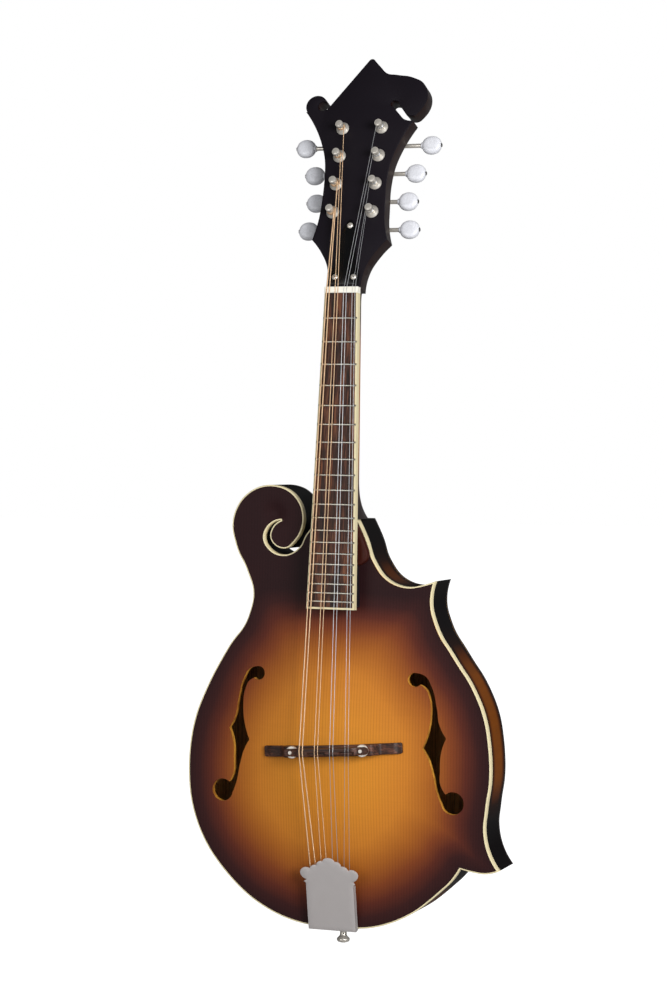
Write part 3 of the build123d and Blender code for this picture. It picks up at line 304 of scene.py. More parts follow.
@dataclass
class Region:
    """A flat area: everything inside any of the solid loops and outside every hole.

    Args:
        solids: loops with the area inside them.
        holes: loops with the area outside them.
        near: share of a rim's depth below which one of its points is too near another edge.
        clear: how far inner points stay off the edge or the last rim, in spacings.
    """

    solids: list
    holes: list = field(default_factory=list)
    near: float = 0.93
    clear: float = 0.45

    def depth(self, points: Points) -> np.ndarray:
        """How far inside the area each point lies, negative outside.

        Args:
            points: n flat points.

        Returns:
            The largest depth in any solid loop, or the distance to a hole where that is less.
        """
        inner = [np.where(is_inside(points, s), 1, -1) * segment_distance(points, s) for s in self.solids]
        outer = [np.where(is_inside(points, h), -1, 1) * segment_distance(points, h) for h in self.holes]
        deepest = np.max(inner, axis=0)
        return np.minimum.reduce([deepest] + outer)

    def rims(self, depths: tuple) -> list:
        """Each loop's points moved into the area by each depth, where they stay inside it."""
        found = []
        for sign, loops in ((1, self.solids), (-1, self.holes)):
            for loop in loops:
                ahead = np.roll(loop, -1, axis=0) - np.roll(loop, 1, axis=0)
                length = np.maximum(np.hypot(*ahead.T), TINY)[:, None]
                (x, y), (next_x, next_y) = loop.T, np.roll(loop, -1, axis=0).T
                turn = np.sign((x * next_y - next_x * y).sum()) * sign
                normal = np.stack([-ahead[:, 1], ahead[:, 0]], 1) / length * turn
                for deep in depths:
                    moved = loop + deep * normal
                    found.append(moved[self.depth(moved) > self.near * deep])
        return found

    def triangles(self, spacing: float = 0.0, rims: tuple = ()) -> tuple[Points, np.ndarray]:
        """Triangles that fill the area, all turned the same way.

        Args:
            spacing: distance between the staggered points that fill the inside, or 0 for none.
            rims: depths of extra rows of points that follow the edge.

        Returns:
            Flat points and triangles, anticlockwise.
        """
        loops = [without_doubles(loop) for loop in self.solids + self.holes]
        edges, start = [], 0
        for loop in loops:
            index = np.arange(len(loop)) + start
            edges += np.stack([index, np.roll(index, -1)], 1).tolist()
            start += len(loop)
        extra = self.rims(rims) if rims else []
        if spacing:
            low, high = np.vstack(loops).min(0), np.vstack(loops).max(0)
            rows = np.arange(low[1], high[1], spacing * 0.87)
            columns = np.arange(low[0], high[0], spacing)
            x, y = np.meshgrid(columns, rows)
            x[1::2] += spacing / 2
            grid = np.stack([x.ravel(), y.ravel()], 1)
            extra.append(grid[self.depth(grid) > max(rims, default=0) + self.clear * spacing])
        points = np.vstack(loops + extra)
        made = delaunay_2d_cdt([Vector(p) for p in points.tolist()], edges, [], 0, 1e-7)
        flat = np.array([tuple(v) for v in made[0]])
        faces = np.array(made[2])
        centre = flat[faces].mean(1)
        kept = np.any([is_inside(centre, s) for s in self.solids], axis=0)
        for hole in self.holes:
            kept &= ~is_inside(centre, hole)
        faces = faces[kept]
        used, inverse = np.unique(faces, return_inverse=True)
        faces = inverse.reshape(-1, 3)
        flat = flat[used]
        a, b, c = flat[faces[:, 0]], flat[faces[:, 1]], flat[faces[:, 2]]
        area = (b[:, 0] - a[:, 0]) * (c[:, 1] - a[:, 1]) - (b[:, 1] - a[:, 1]) * (c[:, 0] - a[:, 0])
        faces[area < 0] = faces[area < 0][:, ::-1]
        return flat, faces[np.abs(area) > 1e-9]


def roundover(depth: np.ndarray, radius: float) -> np.ndarray:
    """How much a rounded edge falls at a depth inside it: r - sqrt(r^2 - (r - d)^2), and 0 past r."""
    gap = np.clip(radius - depth, 0, radius)
    return radius - np.sqrt(np.maximum(radius ** 2 - gap ** 2, 0))


def grid_quads(rows: int, columns: int, wrap_rows: bool = False, wrap_columns: bool = False) -> np.ndarray:
    """Four-sided faces of a grid of points.

    Args:
        rows: number of rows.
        columns: points in a row.
        wrap_rows: whether the last row joins the first.
        wrap_columns: whether each row's end joins its start.

    Returns:
        Rows of four indices.
    """
    index = np.arange(rows * columns).reshape(rows, columns)
    if wrap_rows:
        index = np.vstack([index, index[:1]])
    if wrap_columns:
        index = np.hstack([index, index[:, :1]])
    return np.stack([index[:-1, :-1], index[:-1, 1:], index[1:, 1:], index[1:, :-1]], -1).reshape(-1, 4)


def shell(front: Points, triangles: np.ndarray, back: Points) -> tuple[Points, Faces, np.ndarray]:
    """A closed body from a front surface and the same surface moved back, with walls along every edge.

    Args:
        front: points of the front surface.
        triangles: its triangles.
        back: the same points on the back surface.

    Returns:
        Points, faces, and for each face 0 for the front, 1 for the back and 2 for a wall.
    """
    count = len(front)
    sides = np.vstack([triangles[:, [0, 1]], triangles[:, [1, 2]], triangles[:, [2, 0]]])
    key = sides[:, 0] * count + sides[:, 1]
    other = sides[:, 1] * count + sides[:, 0]
    open_sides = sides[~np.isin(key, other)]
    a, b = open_sides.T
    walls = np.stack([a, a + count, b + count, b], 1)
    faces = triangles.tolist() + (triangles[:, ::-1] + count).tolist() + walls.tolist()
    kind = np.repeat([0, 1, 2], [len(triangles), len(triangles), len(walls)])
    return np.vstack([front, back]), faces, kind


@dataclass(frozen=True)
class Place:
    """A plane in space: local x and y lie in it and local z stands out of it."""

    origin: tuple
    up: tuple
    out: tuple

    @classmethod
    def leaning(cls, origin: tuple, lean: float) -> "Place":
        """A plane that faces the front and leans back by an angle as it goes up."""
        cos, sin = math.cos(lean), math.sin(lean)
        return cls(origin, (0, sin, cos), (0, -cos, sin))

    def at(self, local: Points) -> Points:
        """Points given in the plane's own directions, in the object's frame."""
        axes = np.array([(1, 0, 0), self.up, self.out], float)
        return np.asarray(self.origin, float) + np.asarray(local, float) @ axes


# ---- sizes shared by the assemblies ----------------------------------------------------------------
PITCH = math.radians(3.8)
LEAN = PITCH + math.radians(13.3)
FRONT, BACK = -22.0, 22.0
SCALE = 352.4
SCALE_END = (FRONT - 27.0, 147.2)       # y and z where the scale ends over the body
NUT_AT = (SCALE_END[0] + SCALE * math.sin(PITCH), SCALE_END[1] + SCALE * math.cos(PITCH))
NUT_WIDTH, NUT_THICK = 27.5, 4.9
BOARD = Place.leaning((0, *NUT_AT), PITCH)
HEAD = Place.leaning(tuple(BOARD.at([0, NUT_THICK, -5.0])), LEAN)
BOARD_THICK = 6.0
BOARD_TAPER = 0.0486                    # width gained for each millimetre away from the nut
BODY_END = 322.0                        # z where the neck meets the body
TOP_RISE, BACK_RISE = 14.5, 13.0
ARCH_TOP, ARCH_HALF = 142.0, 119.0      # z of the arches' crest, and half their width
ARCH_DOWN, ARCH_UP = 138.0, 168.0       # from the crest to the arches' foot, towards tail and neck
BURST_DEPTH = 100.0                     # depth inside the outline at which the attribute burst is 1
GAP = 0.05                              # air between two pieces that would otherwise share a face
HEAD_BACK, OVERLAY = -15.6, 1.6         # the headstock's back, and its black face's thickness
POST_ROW, POST_FIRST, POST_PITCH = 16.4, 63.6, 24.0     # off the middle, first above the nut, apart
STRING_ON_POST = 5.6                    # height of the string's first turn above the headstock's face
BRIDGE_MIDDLE = 141.4
BRIDGE_SLANT = math.radians(4.1)
STRING_Y = -52.8
STRING_DIAMETERS = (1.0, 1.0, 0.66, 0.66, 0.4, 0.4, 0.3, 0.3)

TREBLE_SIDE = [
    [(102.5, 53.0), (111.4, 51.2), (123.4, 50.4), (133.3, 53.2)],
    [(133.3, 53.2), (124.5, 69), (121.6, 84.2), (122.9, 100), (125.8, 124), (125.0, 145),
     (119.5, 174), (110.7, 193.7), (95.6, 216.2), (81.5, 238.5), (76.2, 258), (79.1, 275.2)],
    [(79.1, 275.2), (69, 272.0), (58.7, 270.1), (48.3, 271.6), (38.8, 276.7), (29.2, 289),
     (22, 308), (15, 322)],
]
BASS_SIDE = [
    [(15, 322), (-15, 322)],
    [(-15, 322), (-27.9, 309.1), (-33.6, 298.8), (-46.1, 292.6), (-58, 296.5),
     (-63.3, 306), (-59, 315.5), (-49.4, 319.8)],
    [(-49.4, 319.8), (-56.5, 314), (-58.3, 306), (-53.5, 299.3), (-46.2, 297.4), (-35.5, 305.5),
     (-30.2, 323.6), (-38, 340), (-59.5, 347.6), (-80, 339), (-90.6, 318), (-87, 298), (-78, 280),
     (-72.2, 262), (-76, 243), (-94, 215.9), (-110, 187), (-120.6, 160.7), (-125.8, 124), (-122, 88),
     (-111.5, 62.3), (-92, 37), (-68, 17.0), (-36, 3.2), (0, 0), (36, 3.2), (62, 14.3), (84, 31.5),
     (96.9, 44.5), (102.5, 53.0)],
]
HEAD_OUTLINE = [
    [(13.75, 0), (14.0, 9), (16.4, 19), (22.5, 30), (31.3, 40.5)],
    [(31.3, 40.5), (27.6, 54), (26.0, 72), (25.2, 90), (27.2, 108), (31.8, 122), (41.8, 141.1)],
    [(41.8, 141.1), (34.8, 142.2), (29.6, 147.2), (24.2, 153.6)],
    [(24.2, 153.6), (22.0, 158.4), (25.6, 158.8), (31.8, 151.5), (39.5, 145.4), (48.3, 152),
     (51.6, 163), (47.6, 172.8), (37.5, 178.6), (24.5, 181.2), (16.0, 182.8), (9.0, 189.4), (4.2, 194.6)],
    [(4.2, 194.6), (2.0, 196.0), (-0.4, 195.0)],
    [(-0.4, 195.0), (-32.5, 152.0)],
    [(-32.5, 152.0), (-49.6, 151.4)],
    [(-49.6, 151.4), (-40.6, 138.5), (-33.4, 124), (-28.9, 110), (-27.0, 92), (-26.8, 74),
     (-28.0, 56), (-31.3, 40.5)],
    [(-31.3, 40.5), (-22.5, 30), (-16.4, 19), (-14.0, 9), (-13.75, 0)],
    [(-13.75, 0), (13.75, 0)],
]
F_HOLE = [
    [(66.5, 203.6), (72.5, 201.8), (78.6, 192.5), (82.6, 177), (85.0, 163.5), (90.3, 153.7)],
    [(90.3, 153.7), (86.6, 143), (85.8, 130), (86.8, 116), (92.5, 108.0)],
    [(92.5, 108.0), (88.5, 99.0)],
    [(88.5, 99.0), (83.4, 111), (80.3, 125), (76.6, 137), (71.8, 145.3)],
    [(71.8, 145.3), (75.8, 156), (78.0, 171), (76.9, 184), (73.2, 191.8), (66.5, 195.2)],
    [(66.5, 195.2), (66.5, 203.6)],
]
F_HOLE_EYES = ((65.0, 198.4, 5.5), (95.8, 103.6, 8.9))


def arch(x: np.ndarray, z: np.ndarray, rise: float) -> np.ndarray:
    """A carved plate's height: half the rise times 1 + cos(pi d), with d 0 at its crest and 1 at its foot."""
    reach = np.where(z < ARCH_TOP, ARCH_DOWN, ARCH_UP)
    distance = np.hypot(x / ARCH_HALF, (z - ARCH_TOP) / reach)
    return rise * (1 + np.cos(np.pi * np.minimum(distance, 1))) / 2


def top_surface(x: np.ndarray, z: np.ndarray) -> np.ndarray:
    """The soundboard's y: its arch, and a shallow hollow that the scroll's slot runs out into."""
    hollow = 2.4 * np.exp(-((x + 55.0) ** 2 + (z - 325.0) ** 2) / 60.0)
    return FRONT - arch(x, z, TOP_RISE) + hollow


def board_half_width(distance: np.ndarray) -> np.ndarray:
    """Half the fingerboard's width at a distance from the nut."""
    return (NUT_WIDTH + BOARD_TAPER * distance) / 2


def under_board(z: np.ndarray) -> np.ndarray:
    """y of the fingerboard's underside, on the centre line at a height z."""
    return NUT_AT[0] + (z - NUT_AT[1]) * math.tan(PITCH) + BOARD_THICK / math.cos(PITCH)


# ---- materials -------------------------------------------------------------------------------------
def linear(colour: str) -> tuple:
    """The linear colour of an sRGB hex value, with full alpha."""
    parts = [int(colour[i:i + 2], 16) / 255 for i in (1, 3, 5)]
    return tuple(c / 12.92 if c <= 0.04045 else ((c + 0.055) / 1.055) ** 2.4 for c in parts) + (1.0,)


def add(
        tree: Tree, kind: str, inputs: dict | None = None, stops: tuple = (),
        **settings: object) -> bpy.types.Node:
    """Adds a shader node.

    Args:
        tree: the material's node tree.
        kind: the node's type, without its ShaderNode prefix.
        inputs: values for its sockets, or the sockets that feed them.
        stops: positions and hex colours, for a colour ramp.
        settings: the node's other attributes.

    Returns:
        The node.
    """
    made = tree.nodes.new("ShaderNode" + kind)
    for name, value in settings.items():
        setattr(made, name, value)
    for socket, value in (inputs or {}).items():
        if isinstance(value, Socket):
            tree.links.new(value, made.inputs[socket])
        else:
            made.inputs[socket].default_value = value
    for number, (position, colour) in enumerate(stops):
        elements = made.color_ramp.elements
        element = elements[number] if number < 2 else elements.new(position)
        element.position = position
        element.color = linear(colour)
    return made


def empty_tree(owner: bpy.types.ID) -> Tree:
    """The node tree of a material or world, switched on and emptied."""
    owner.use_nodes = True
    owner.node_tree.nodes.clear()
    return owner.node_tree


@dataclass(frozen=True)
class Finish:
    """A surface with one colour and a fine unevenness.

    Args:
        name: the real material's name.
        slot: the record's material slot; not used.
        colour: sRGB hex colour.
        roughness: the shader's roughness.
        metallic: 1 for metal.
        coat: weight of a clear coat.
        coat_roughness: the coat's roughness.
        grit: size of the unevenness in millimetres.
        bump: how deep it looks, in millimetres.
        mottle: how much it changes the brightness.
        specular: strength of the plain reflection, where 0.5 is that of glass.
    """

    name: str
    slot: str
    colour: str
    roughness: float = 0.4
    metallic: float = 0.0
    coat: float = 0.0
    coat_roughness: float = 0.15
    grit: float = 2.0
    bump: float = 0.0
    mottle: float = 0.06
    specular: float = 0.5

    def noise(self, tree: Tree, sizes: tuple, detail: float = 2.0) -> Socket:
        """Noise whose grains have a size in millimetres along each axis.

        Args:
            tree: the node tree.
            sizes: grain size along x, y and z.
            detail: the noise's octaves.

        Returns:
            The noise's factor socket.
        """
        spot = add(tree, "TexCoord").outputs["Object"]
        scale = tuple(1 / (size * MM) for size in sizes)
        spot = add(tree, "Mapping", {"Vector": spot, "Scale": scale}).outputs[0]
        return add(tree, "TexNoise", {"Vector": spot, "Scale": 1.0, "Detail": detail}).outputs[0]

    def toned(self, tree: Tree, colour: Socket | tuple, factor: Socket, amount: float) -> Socket:
        """A colour whose brightness follows a factor between 0 and 1.

        Args:
            tree: the node tree.
            colour: the colour's socket or value.
            factor: the factor's socket.
            amount: full swing of the brightness.

        Returns:
            The colour's socket.
        """
        value = add(tree, "Math", {0: factor, 1: amount, 2: 1 - amount / 2}, operation="MULTIPLY_ADD")
        return add(tree, "HueSaturation", {"Color": colour, "Value": value.outputs[0]}).outputs[0]

    def raised(self, tree: Tree, height: Socket, depth: float) -> Socket:
        """A normal bumped by a height socket, to a depth in millimetres."""
        return add(tree, "Bump", {"Height": height, "Distance": depth * MM, "Strength": 1.0}).outputs[0]

    def pattern(self, tree: Tree) -> dict:
        """The sockets that feed the shader: a faint mottle, and its bump."""
        grain = self.noise(tree, (self.grit,) * 3)
        sockets = {"Base Color": self.toned(tree, linear(self.colour), grain, self.mottle)}
        if self.bump:
            sockets["Normal"] = self.raised(tree, grain, self.bump)
        return sockets

    def material(self) -> bpy.types.Material:
        """The finish's material, made once."""
        if self.name in bpy.data.materials:
            return bpy.data.materials[self.name]
        made = bpy.data.materials.new(self.name)
        tree = empty_tree(made)
        inputs = {
            "Base Color": linear(self.colour), "Roughness": self.roughness, "Metallic": self.metallic,
            "Coat Weight": self.coat, "Coat Roughness": self.coat_roughness,
            "Specular IOR Level": self.specular}
        inputs.update(self.pattern(tree))
        shader = add(tree, "BsdfPrincipled", inputs)
        add(tree, "OutputMaterial", {"Surface": shader.outputs[0]})
        return made


@dataclass(frozen=True)
class Sunburst(Finish):
    """Wood under a lacquer that is shaded from its edges inwards.

    Args:
        stops: share of the way in from the edge (the attribute burst), and colour there.
        lines: grain size in millimetres along x, y and z.
        line_swing: brightness swing of the grain lines.
        figure: size of the cross figure along x, y and z.
        figure_swing: its brightness swing.
        follow: whether the cross figure runs along the attribute along instead of an axis.
        ring: spacing in millimetres of the winter lines across x, or 0 for none.
    """

    stops: tuple = ()
    lines: tuple = (1.0, 30.0, 420.0)
    line_swing: float = 0.5
    figure: tuple = (22.0, 22.0, 1.3)
    figure_swing: float = 0.07
    follow: bool = False
    ring: float = 0.0

    def winter_lines(self, tree: Tree, lines: Socket) -> Socket:
        """Evenly spaced dark lines that drift a little, mixed with the loose grain.

        The value is s (1 - (0.5 + 0.5 sin(2 pi x' / ring))^4) + (1 - s) lines, where s is the share of the
        lines and x' is x plus 1.6 mm of noise.

        Args:
            tree: the node tree.
            lines: the loose grain's factor.

        Returns:
            The mixed factor's socket.
        """
        share, drifting = 0.62, 1.6
        across = add(tree, "SeparateXYZ", {0: add(tree, "TexCoord").outputs["Object"]}).outputs["X"]
        value = self.noise(tree, (14.0, 40.0, 300.0), 1.0)
        for operation, inputs in (
                ("MULTIPLY_ADD", {1: drifting * MM, 2: across}),
                ("MULTIPLY", {1: 2 * math.pi / (self.ring * MM)}),
                ("SINE", {}),
                ("MULTIPLY_ADD", {1: 0.5, 2: 0.5}),
                ("POWER", {1: 4.0}),
                ("MULTIPLY_ADD", {1: -share, 2: share})):
            value = add(tree, "Math", {0: value, **inputs}, operation=operation).outputs[0]
        return add(tree, "Math", {0: lines, 1: 1 - share, 2: value}, operation="MULTIPLY_ADD").outputs[0]

    def pattern(self, tree: Tree) -> dict:
        """Shade from the edge, grain lines along the wood and figure across it."""
        burst = add(tree, "Attribute", attribute_name="burst").outputs["Fac"]
        wander = self.noise(tree, (40.0,) * 3, 1.0)
        shade = add(tree, "Math", {0: wander, 1: 0.06, 2: -0.03}, operation="MULTIPLY_ADD").outputs[0]
        shade = add(tree, "Math", {0: burst, 1: shade}, operation="ADD").outputs[0]
        colour = add(tree, "ValToRGB", {"Fac": shade}, self.stops).outputs[0]
        lines = self.noise(tree, self.lines, 3.0)
        if self.ring:
            lines = self.winter_lines(tree, lines)
        if self.follow:
            along = add(tree, "Attribute", attribute_name="along").outputs["Fac"]
            depth = add(tree, "SeparateXYZ", {0: add(tree, "TexCoord").outputs["Object"]}).outputs["Y"]
            spot = add(tree, "CombineXYZ", {"X": along, "Y": depth}).outputs[0]
            scale = (1 / (self.figure[2] * MM), 1 / (self.figure[0] * MM), 1.0)
            spot = add(tree, "Mapping", {"Vector": spot, "Scale": scale}).outputs[0]
            figure = add(tree, "TexNoise", {"Vector": spot, "Scale": 1.0, "Detail": 1.5}).outputs[0]
        else:
            figure = self.noise(tree, self.figure, 1.5)
        colour = self.toned(tree, colour, lines, self.line_swing)
        colour = self.toned(tree, colour, figure, self.figure_swing)
        return {"Base Color": colour, "Normal": self.raised(tree, lines, 0.02)}


@dataclass(frozen=True)
class OpenGrain(Finish):
    """Unstained wood with long pores.

    Args:
        stops: colours from the darkest pore to the lightest streak.
        pores: pore size in millimetres along x, y and z.
    """

    stops: tuple = ()
    pores: tuple = (0.8, 0.8, 22.0)

    def pattern(self, tree: Tree) -> dict:
        """Streaks in two sizes between the dark and the light wood, with sunk pores."""
        fine = self.noise(tree, self.pores, 3.0)
        broad = self.noise(tree, tuple(4.5 * size for size in self.pores), 2.0)
        mixed = add(tree, "Math", {0: fine, 1: broad}, operation="ADD").outputs[0]
        mixed = add(tree, "Math", {0: mixed, 1: 1.9, 2: -1.4}, operation="MULTIPLY_ADD").outputs[0]
        colour = add(tree, "ValToRGB", {"Fac": mixed}, self.stops).outputs[0]
        return {"Base Color": colour, "Normal": self.raised(tree, fine, 0.06)}


@dataclass(frozen=True)
class Plated(Finish):
    """Metal under plating.

    Args:
        brushed: size of the finest marks along x, y and z in millimetres.
        unevenness: swing of the roughness.
    """

    metallic: float = 1.0
    brushed: tuple = (0.6, 0.6, 6.0)
    unevenness: float = 0.12

    def pattern(self, tree: Tree) -> dict:
        """Roughness that wanders with faint marks, and a breath of tarnish in the colour."""
        marks = self.noise(tree, self.brushed, 3.0)
        cloud = self.noise(tree, (9.0,) * 3, 2.0)
        least = self.roughness - self.unevenness / 2
        rough = add(tree, "Math", {0: marks, 1: self.unevenness, 2: least}, operation="MULTIPLY_ADD")
        return {
            "Base Color": self.toned(tree, linear(self.colour), cloud, self.mottle),
            "Roughness": rough.outputs[0],
            "Normal": self.raised(tree, marks, 0.004)}


@dataclass(frozen=True)
class Pearloid(Finish):
    """Cellulose plastic with pearl leaves folded into it."""

    def pattern(self, tree: Tree) -> dict:
        """Cloudy leaves about 3 mm across, lighter where they face out."""
        spot = add(tree, "TexCoord").outputs["Object"]
        warp = add(tree, "TexNoise", {"Vector": spot, "Scale": 260.0, "Detail": 2.0, "Distortion": 1.4})
        leaves = add(tree, "TexVoronoi", {"Vector": warp.outputs["Color"], "Scale": 5.0})
        colour = self.toned(tree, linear(self.colour), leaves.outputs["Distance"], 0.3)
        return {"Base Color": colour}


@dataclass(frozen=True)
class Wound(Plated):
    """Wire wound over a core.

    Args:
        turns: spacing of the turns in millimetres, drawn three times as coarse as the real wire.
    """

    turns: float = 0.9

    def pattern(self, tree: Tree) -> dict:
        """Rings along the string."""
        sockets = super().pattern(tree)
        along = add(tree, "Attribute", attribute_name="along").outputs["Fac"]
        angle = add(tree, "Math", {0: along, 1: 2 * math.pi / (self.turns * MM)}, operation="MULTIPLY")
        ring = add(tree, "Math", {0: angle.outputs[0]}, operation="SINE").outputs[0]
        sockets["Normal"] = self.raised(tree, ring, 0.05)
        return sockets


BURST_STOPS = (
    (0.0, "#251113"), (1.0, "#C78129"), (0.10, "#341716"), (0.20, "#522419"), (0.31, "#74391B"),
    (0.45, "#96551E"), (0.65, "#B77126"))


class Finishes(Enum):
    """Every finish of the mandolin."""

    # Spruce, quarter sawn and lacquered: fine straight winter lines, amber in the middle, near black edges.
    SPRUCE = Sunburst(
        "lacquered spruce", "spruce_top", "#C8812C", 0.5, specular=0.12, stops=BURST_STOPS,
        line_swing=0.26, ring=2.3)
    # Flamed maple, lacquered: broad cross figure that crosses the length of the wood.
    MAPLE_BACK = Sunburst(
        "flamed maple back", "maple_body", "#9A5512", 0.34, specular=0.2, stops=(
            (0.0, "#1A0C0D"), (1.0, "#B4651A"), (0.12, "#2C1211"), (0.25, "#521F12"), (0.45, "#8A4312")),
        lines=(2.5, 20.0, 160.0), line_swing=0.16, figure=(60.0, 30.0, 7.0), figure_swing=0.42)
    MAPLE_SIDE = Sunburst(
        "flamed maple sides", "maple_body", "#7A3E08", 0.45, specular=0.04, stops=(
            (0.0, "#080506"), (1.0, "#6E3907"), (0.3, "#200C06"), (0.6, "#4C2304")),
        lines=(30.0, 2.0, 30.0), line_swing=0.12, figure=(34.0, 34.0, 6.5), figure_swing=0.3, follow=True)
    MAPLE_NECK = Sunburst(
        "lacquered maple neck", "maple_neck", "#A45A10", 0.34, specular=0.25, stops=(
            (0.0, "#1D0B0A"), (1.0, "#A85C12"), (0.3, "#46190F"), (0.6, "#7C3B0B")),
        lines=(2.0, 2.0, 120.0), line_swing=0.14, figure=(30.0, 30.0, 8.0), figure_swing=0.2)
    # Bare softwood inside the body and in the sawn edges of the sound holes.
    INNER_WOOD = OpenGrain(
        "bare spruce", "inner_wood", "#B98543", 0.7, stops=((0.0, "#8A5A24"), (1.0, "#D3A05C")),
        pores=(1.2, 1.2, 40.0))
    SAWN_EDGE = OpenGrain(
        "sawn spruce edge", "spruce_top", "#B8741F", 0.55, stops=((0.0, "#8A5214"), (1.0, "#DDA03A")),
        pores=(1.4, 1.4, 6.0))
    # Rosewood, oiled: brown-black pores with redder streaks.
    ROSEWOOD = OpenGrain(
        "oiled rosewood", "rosewood", "#3A2418", 0.45, specular=0.25,
        stops=((0.0, "#150B08"), (1.0, "#74452C"), (0.5, "#3B2117")), pores=(0.9, 0.9, 26.0))
    ROSEWOOD_ACROSS = OpenGrain(
        "oiled rosewood, grain across", "rosewood", "#3A2418", 0.45, specular=0.3,
        stops=((0.0, "#1B0F0C"), (1.0, "#6A4030"), (0.5, "#3C241B")), pores=(16.0, 0.7, 0.7))
    # Black lacquer rubbed to a satin.
    BLACK_LACQUER = Finish(
        "satin black lacquer", "black_veneer", "#18141A", 0.45, grit=1.2, bump=0.004, mottle=0.2,
        specular=0.15)
    # Celluloid, scraped and lightly yellowed.
    CELLULOID = Finish(
        "ivory celluloid", "cream_binding", "#DDD0A8", 0.35, grit=5.0, mottle=0.08, specular=0.3)
    BLACK_PLASTIC = Finish(
        "moulded black plastic", "black_plastic", "#0A0A0B", 0.22, grit=0.8, bump=0.002, mottle=0.2)
    DOT = Finish("black dot plastic", "black_plastic", "#161414", 0.4, grit=0.6)
    BONE = Finish("polished bone", "bone_nut", "#F3EFE2", 0.3, grit=3.0, mottle=0.07, coat=0.2)
    PEARL = Pearloid("pearloid buttons", "pearl_button", "#DDDEE4", 0.3, coat=0.15, coat_roughness=0.1)
    # Nickel plate over brass: warm white metal.
    NICKEL = Plated("polished nickel", "nickel", "#E2DCD2", 0.3, metallic=0.6)
    SATIN_NICKEL = Plated(
        "satin nickel", "satin_nickel", "#B9B4B3", 0.5, metallic=0.35, brushed=(0.5, 0.5, 14.0),
        unevenness=0.06)
    STEEL = Plated("bare steel", "steel", "#B9B9BA", 0.35)
    FRET_WIRE = Plated("nickel silver wire", "nickel", "#D8D3C6", 0.24, brushed=(4.0, 0.5, 0.5))
    # Bronze wire wound over steel, and plain drawn steel.
    BRONZE = Wound("bronze wound wire", "bronze_wound", "#E4C09A", 0.35, metallic=0.7)
    PLAIN_STEEL = Plated("drawn steel wire", "plain_steel", "#C4C5C8", 0.35, metallic=0.7)


def dress(piece: Piece, *finishes: Finishes) -> None:
    """Gives a piece its materials.

    Only a piece that has materials is cleared, because clearing also forgets which finish each face has.
    """
    if piece.data.materials:
        piece.data.materials.clear()
    for finish in finishes:
        piece.data.materials.append(finish.value.material())


def in_scene(name: str, data: bpy.types.ID) -> Piece:
    """A new object of the scene."""
    made = bpy.data.objects.new(name, data)
    bpy.context.scene.collection.objects.link(made)
    return made


def make_piece(
        name: str, points: Points, faces: Faces, *finishes: Finishes, body: str = ROOT,
        replaces: tuple = (), sharp: float = 38.0, face_finish: np.ndarray | None = None,
        attributes: dict | None = None) -> Piece:
    """Makes a mesh piece, joins its coincident points, turns its faces outwards and dresses it.

    Args:
        name: the piece's name.
        points: points in millimetres.
        faces: rows of indices.
        finishes: its materials.
        body: the body that it moves with, or an empty name for none.
        replaces: the nodes that it stands for.
        sharp: edges that turn by more degrees than this stay sharp.
        face_finish: which finish each face has.
        attributes: named values, one for each point.

    Returns:
        The piece.
    """
    mesh = bpy.data.meshes.new(name)
    rows = faces if isinstance(faces, list) else faces.tolist()
    mesh.from_pydata((np.asarray(points, float) * MM).tolist(), [], rows)
    for label, values in (attributes or {}).items():
        layer = mesh.attributes.new(label, "FLOAT", "POINT")
        layer.data.foreach_set("value", np.asarray(values, np.float32))
    if face_finish is not None:
        mesh.polygons.foreach_set("material_index", np.asarray(face_finish, np.int32))
    work = bmesh.new()
    work.from_mesh(mesh)
    bmesh.ops.remove_doubles(work, verts=work.verts, dist=WELD)
    bmesh.ops.dissolve_degenerate(work, edges=work.edges, dist=SLIVER)
    if work.calc_volume(signed=True) < 0:
        bmesh.ops.reverse_faces(work, faces=work.faces)
    work.to_mesh(mesh)
    work.free()
    mesh.polygons.foreach_set("use_smooth", np.ones(len(mesh.polygons), bool))
    mesh.set_sharp_from_angle(angle=math.radians(sharp))
    piece = in_scene(name, mesh)
    dress(piece, *finishes)
    if body:
        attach(piece, body)
    if replaces:
        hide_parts(*replaces)
    log.info("%s: %d points", name, len(mesh.vertices))
    return piece


def slab_piece(
        name: str, region: Region, place: Place, low: Height, high: Height, *finishes: Finishes,
        edge: float = 0.4, low_edge: float = 0.0, spacing: float = 0.0, **options: object) -> Piece:
    """A flat piece with rounded edges, drawn on a plane.

    Its upper surface stands at high less the roundover of the depth inside the edge, and the lower one the
    other way round.

    Args:
        name: the piece's name.
        region: its flat shape.
        place: the plane.
        low: height of its lower surface, a number or a function of flat points.
        high: height of its upper surface, likewise.
        finishes: its materials.
        edge: radius of the upper edge.
        low_edge: radius of the lower edge.
        spacing: spacing of its inner points.
        options: passed on to make_piece.

    Returns:
        The piece.
    """
    widest = max(edge, low_edge)
    rims = (0.3 * widest, widest) if widest else ()
    flat, triangles = region.triangles(spacing, rims)
    deep = region.depth(flat)
    top = high(flat) if callable(high) else np.full(len(flat), float(high))
    bottom = low(flat) if callable(low) else np.full(len(flat), float(low))
    if edge:
        top = top - roundover(deep, edge)
    if low_edge:
        bottom = bottom + roundover(deep, low_edge)
    front = place.at(np.column_stack([flat, top]))
    back = place.at(np.column_stack([flat, bottom]))
    points, faces, _ = shell(front, triangles, back)
    return make_piece(name, points, faces, *finishes, **options)


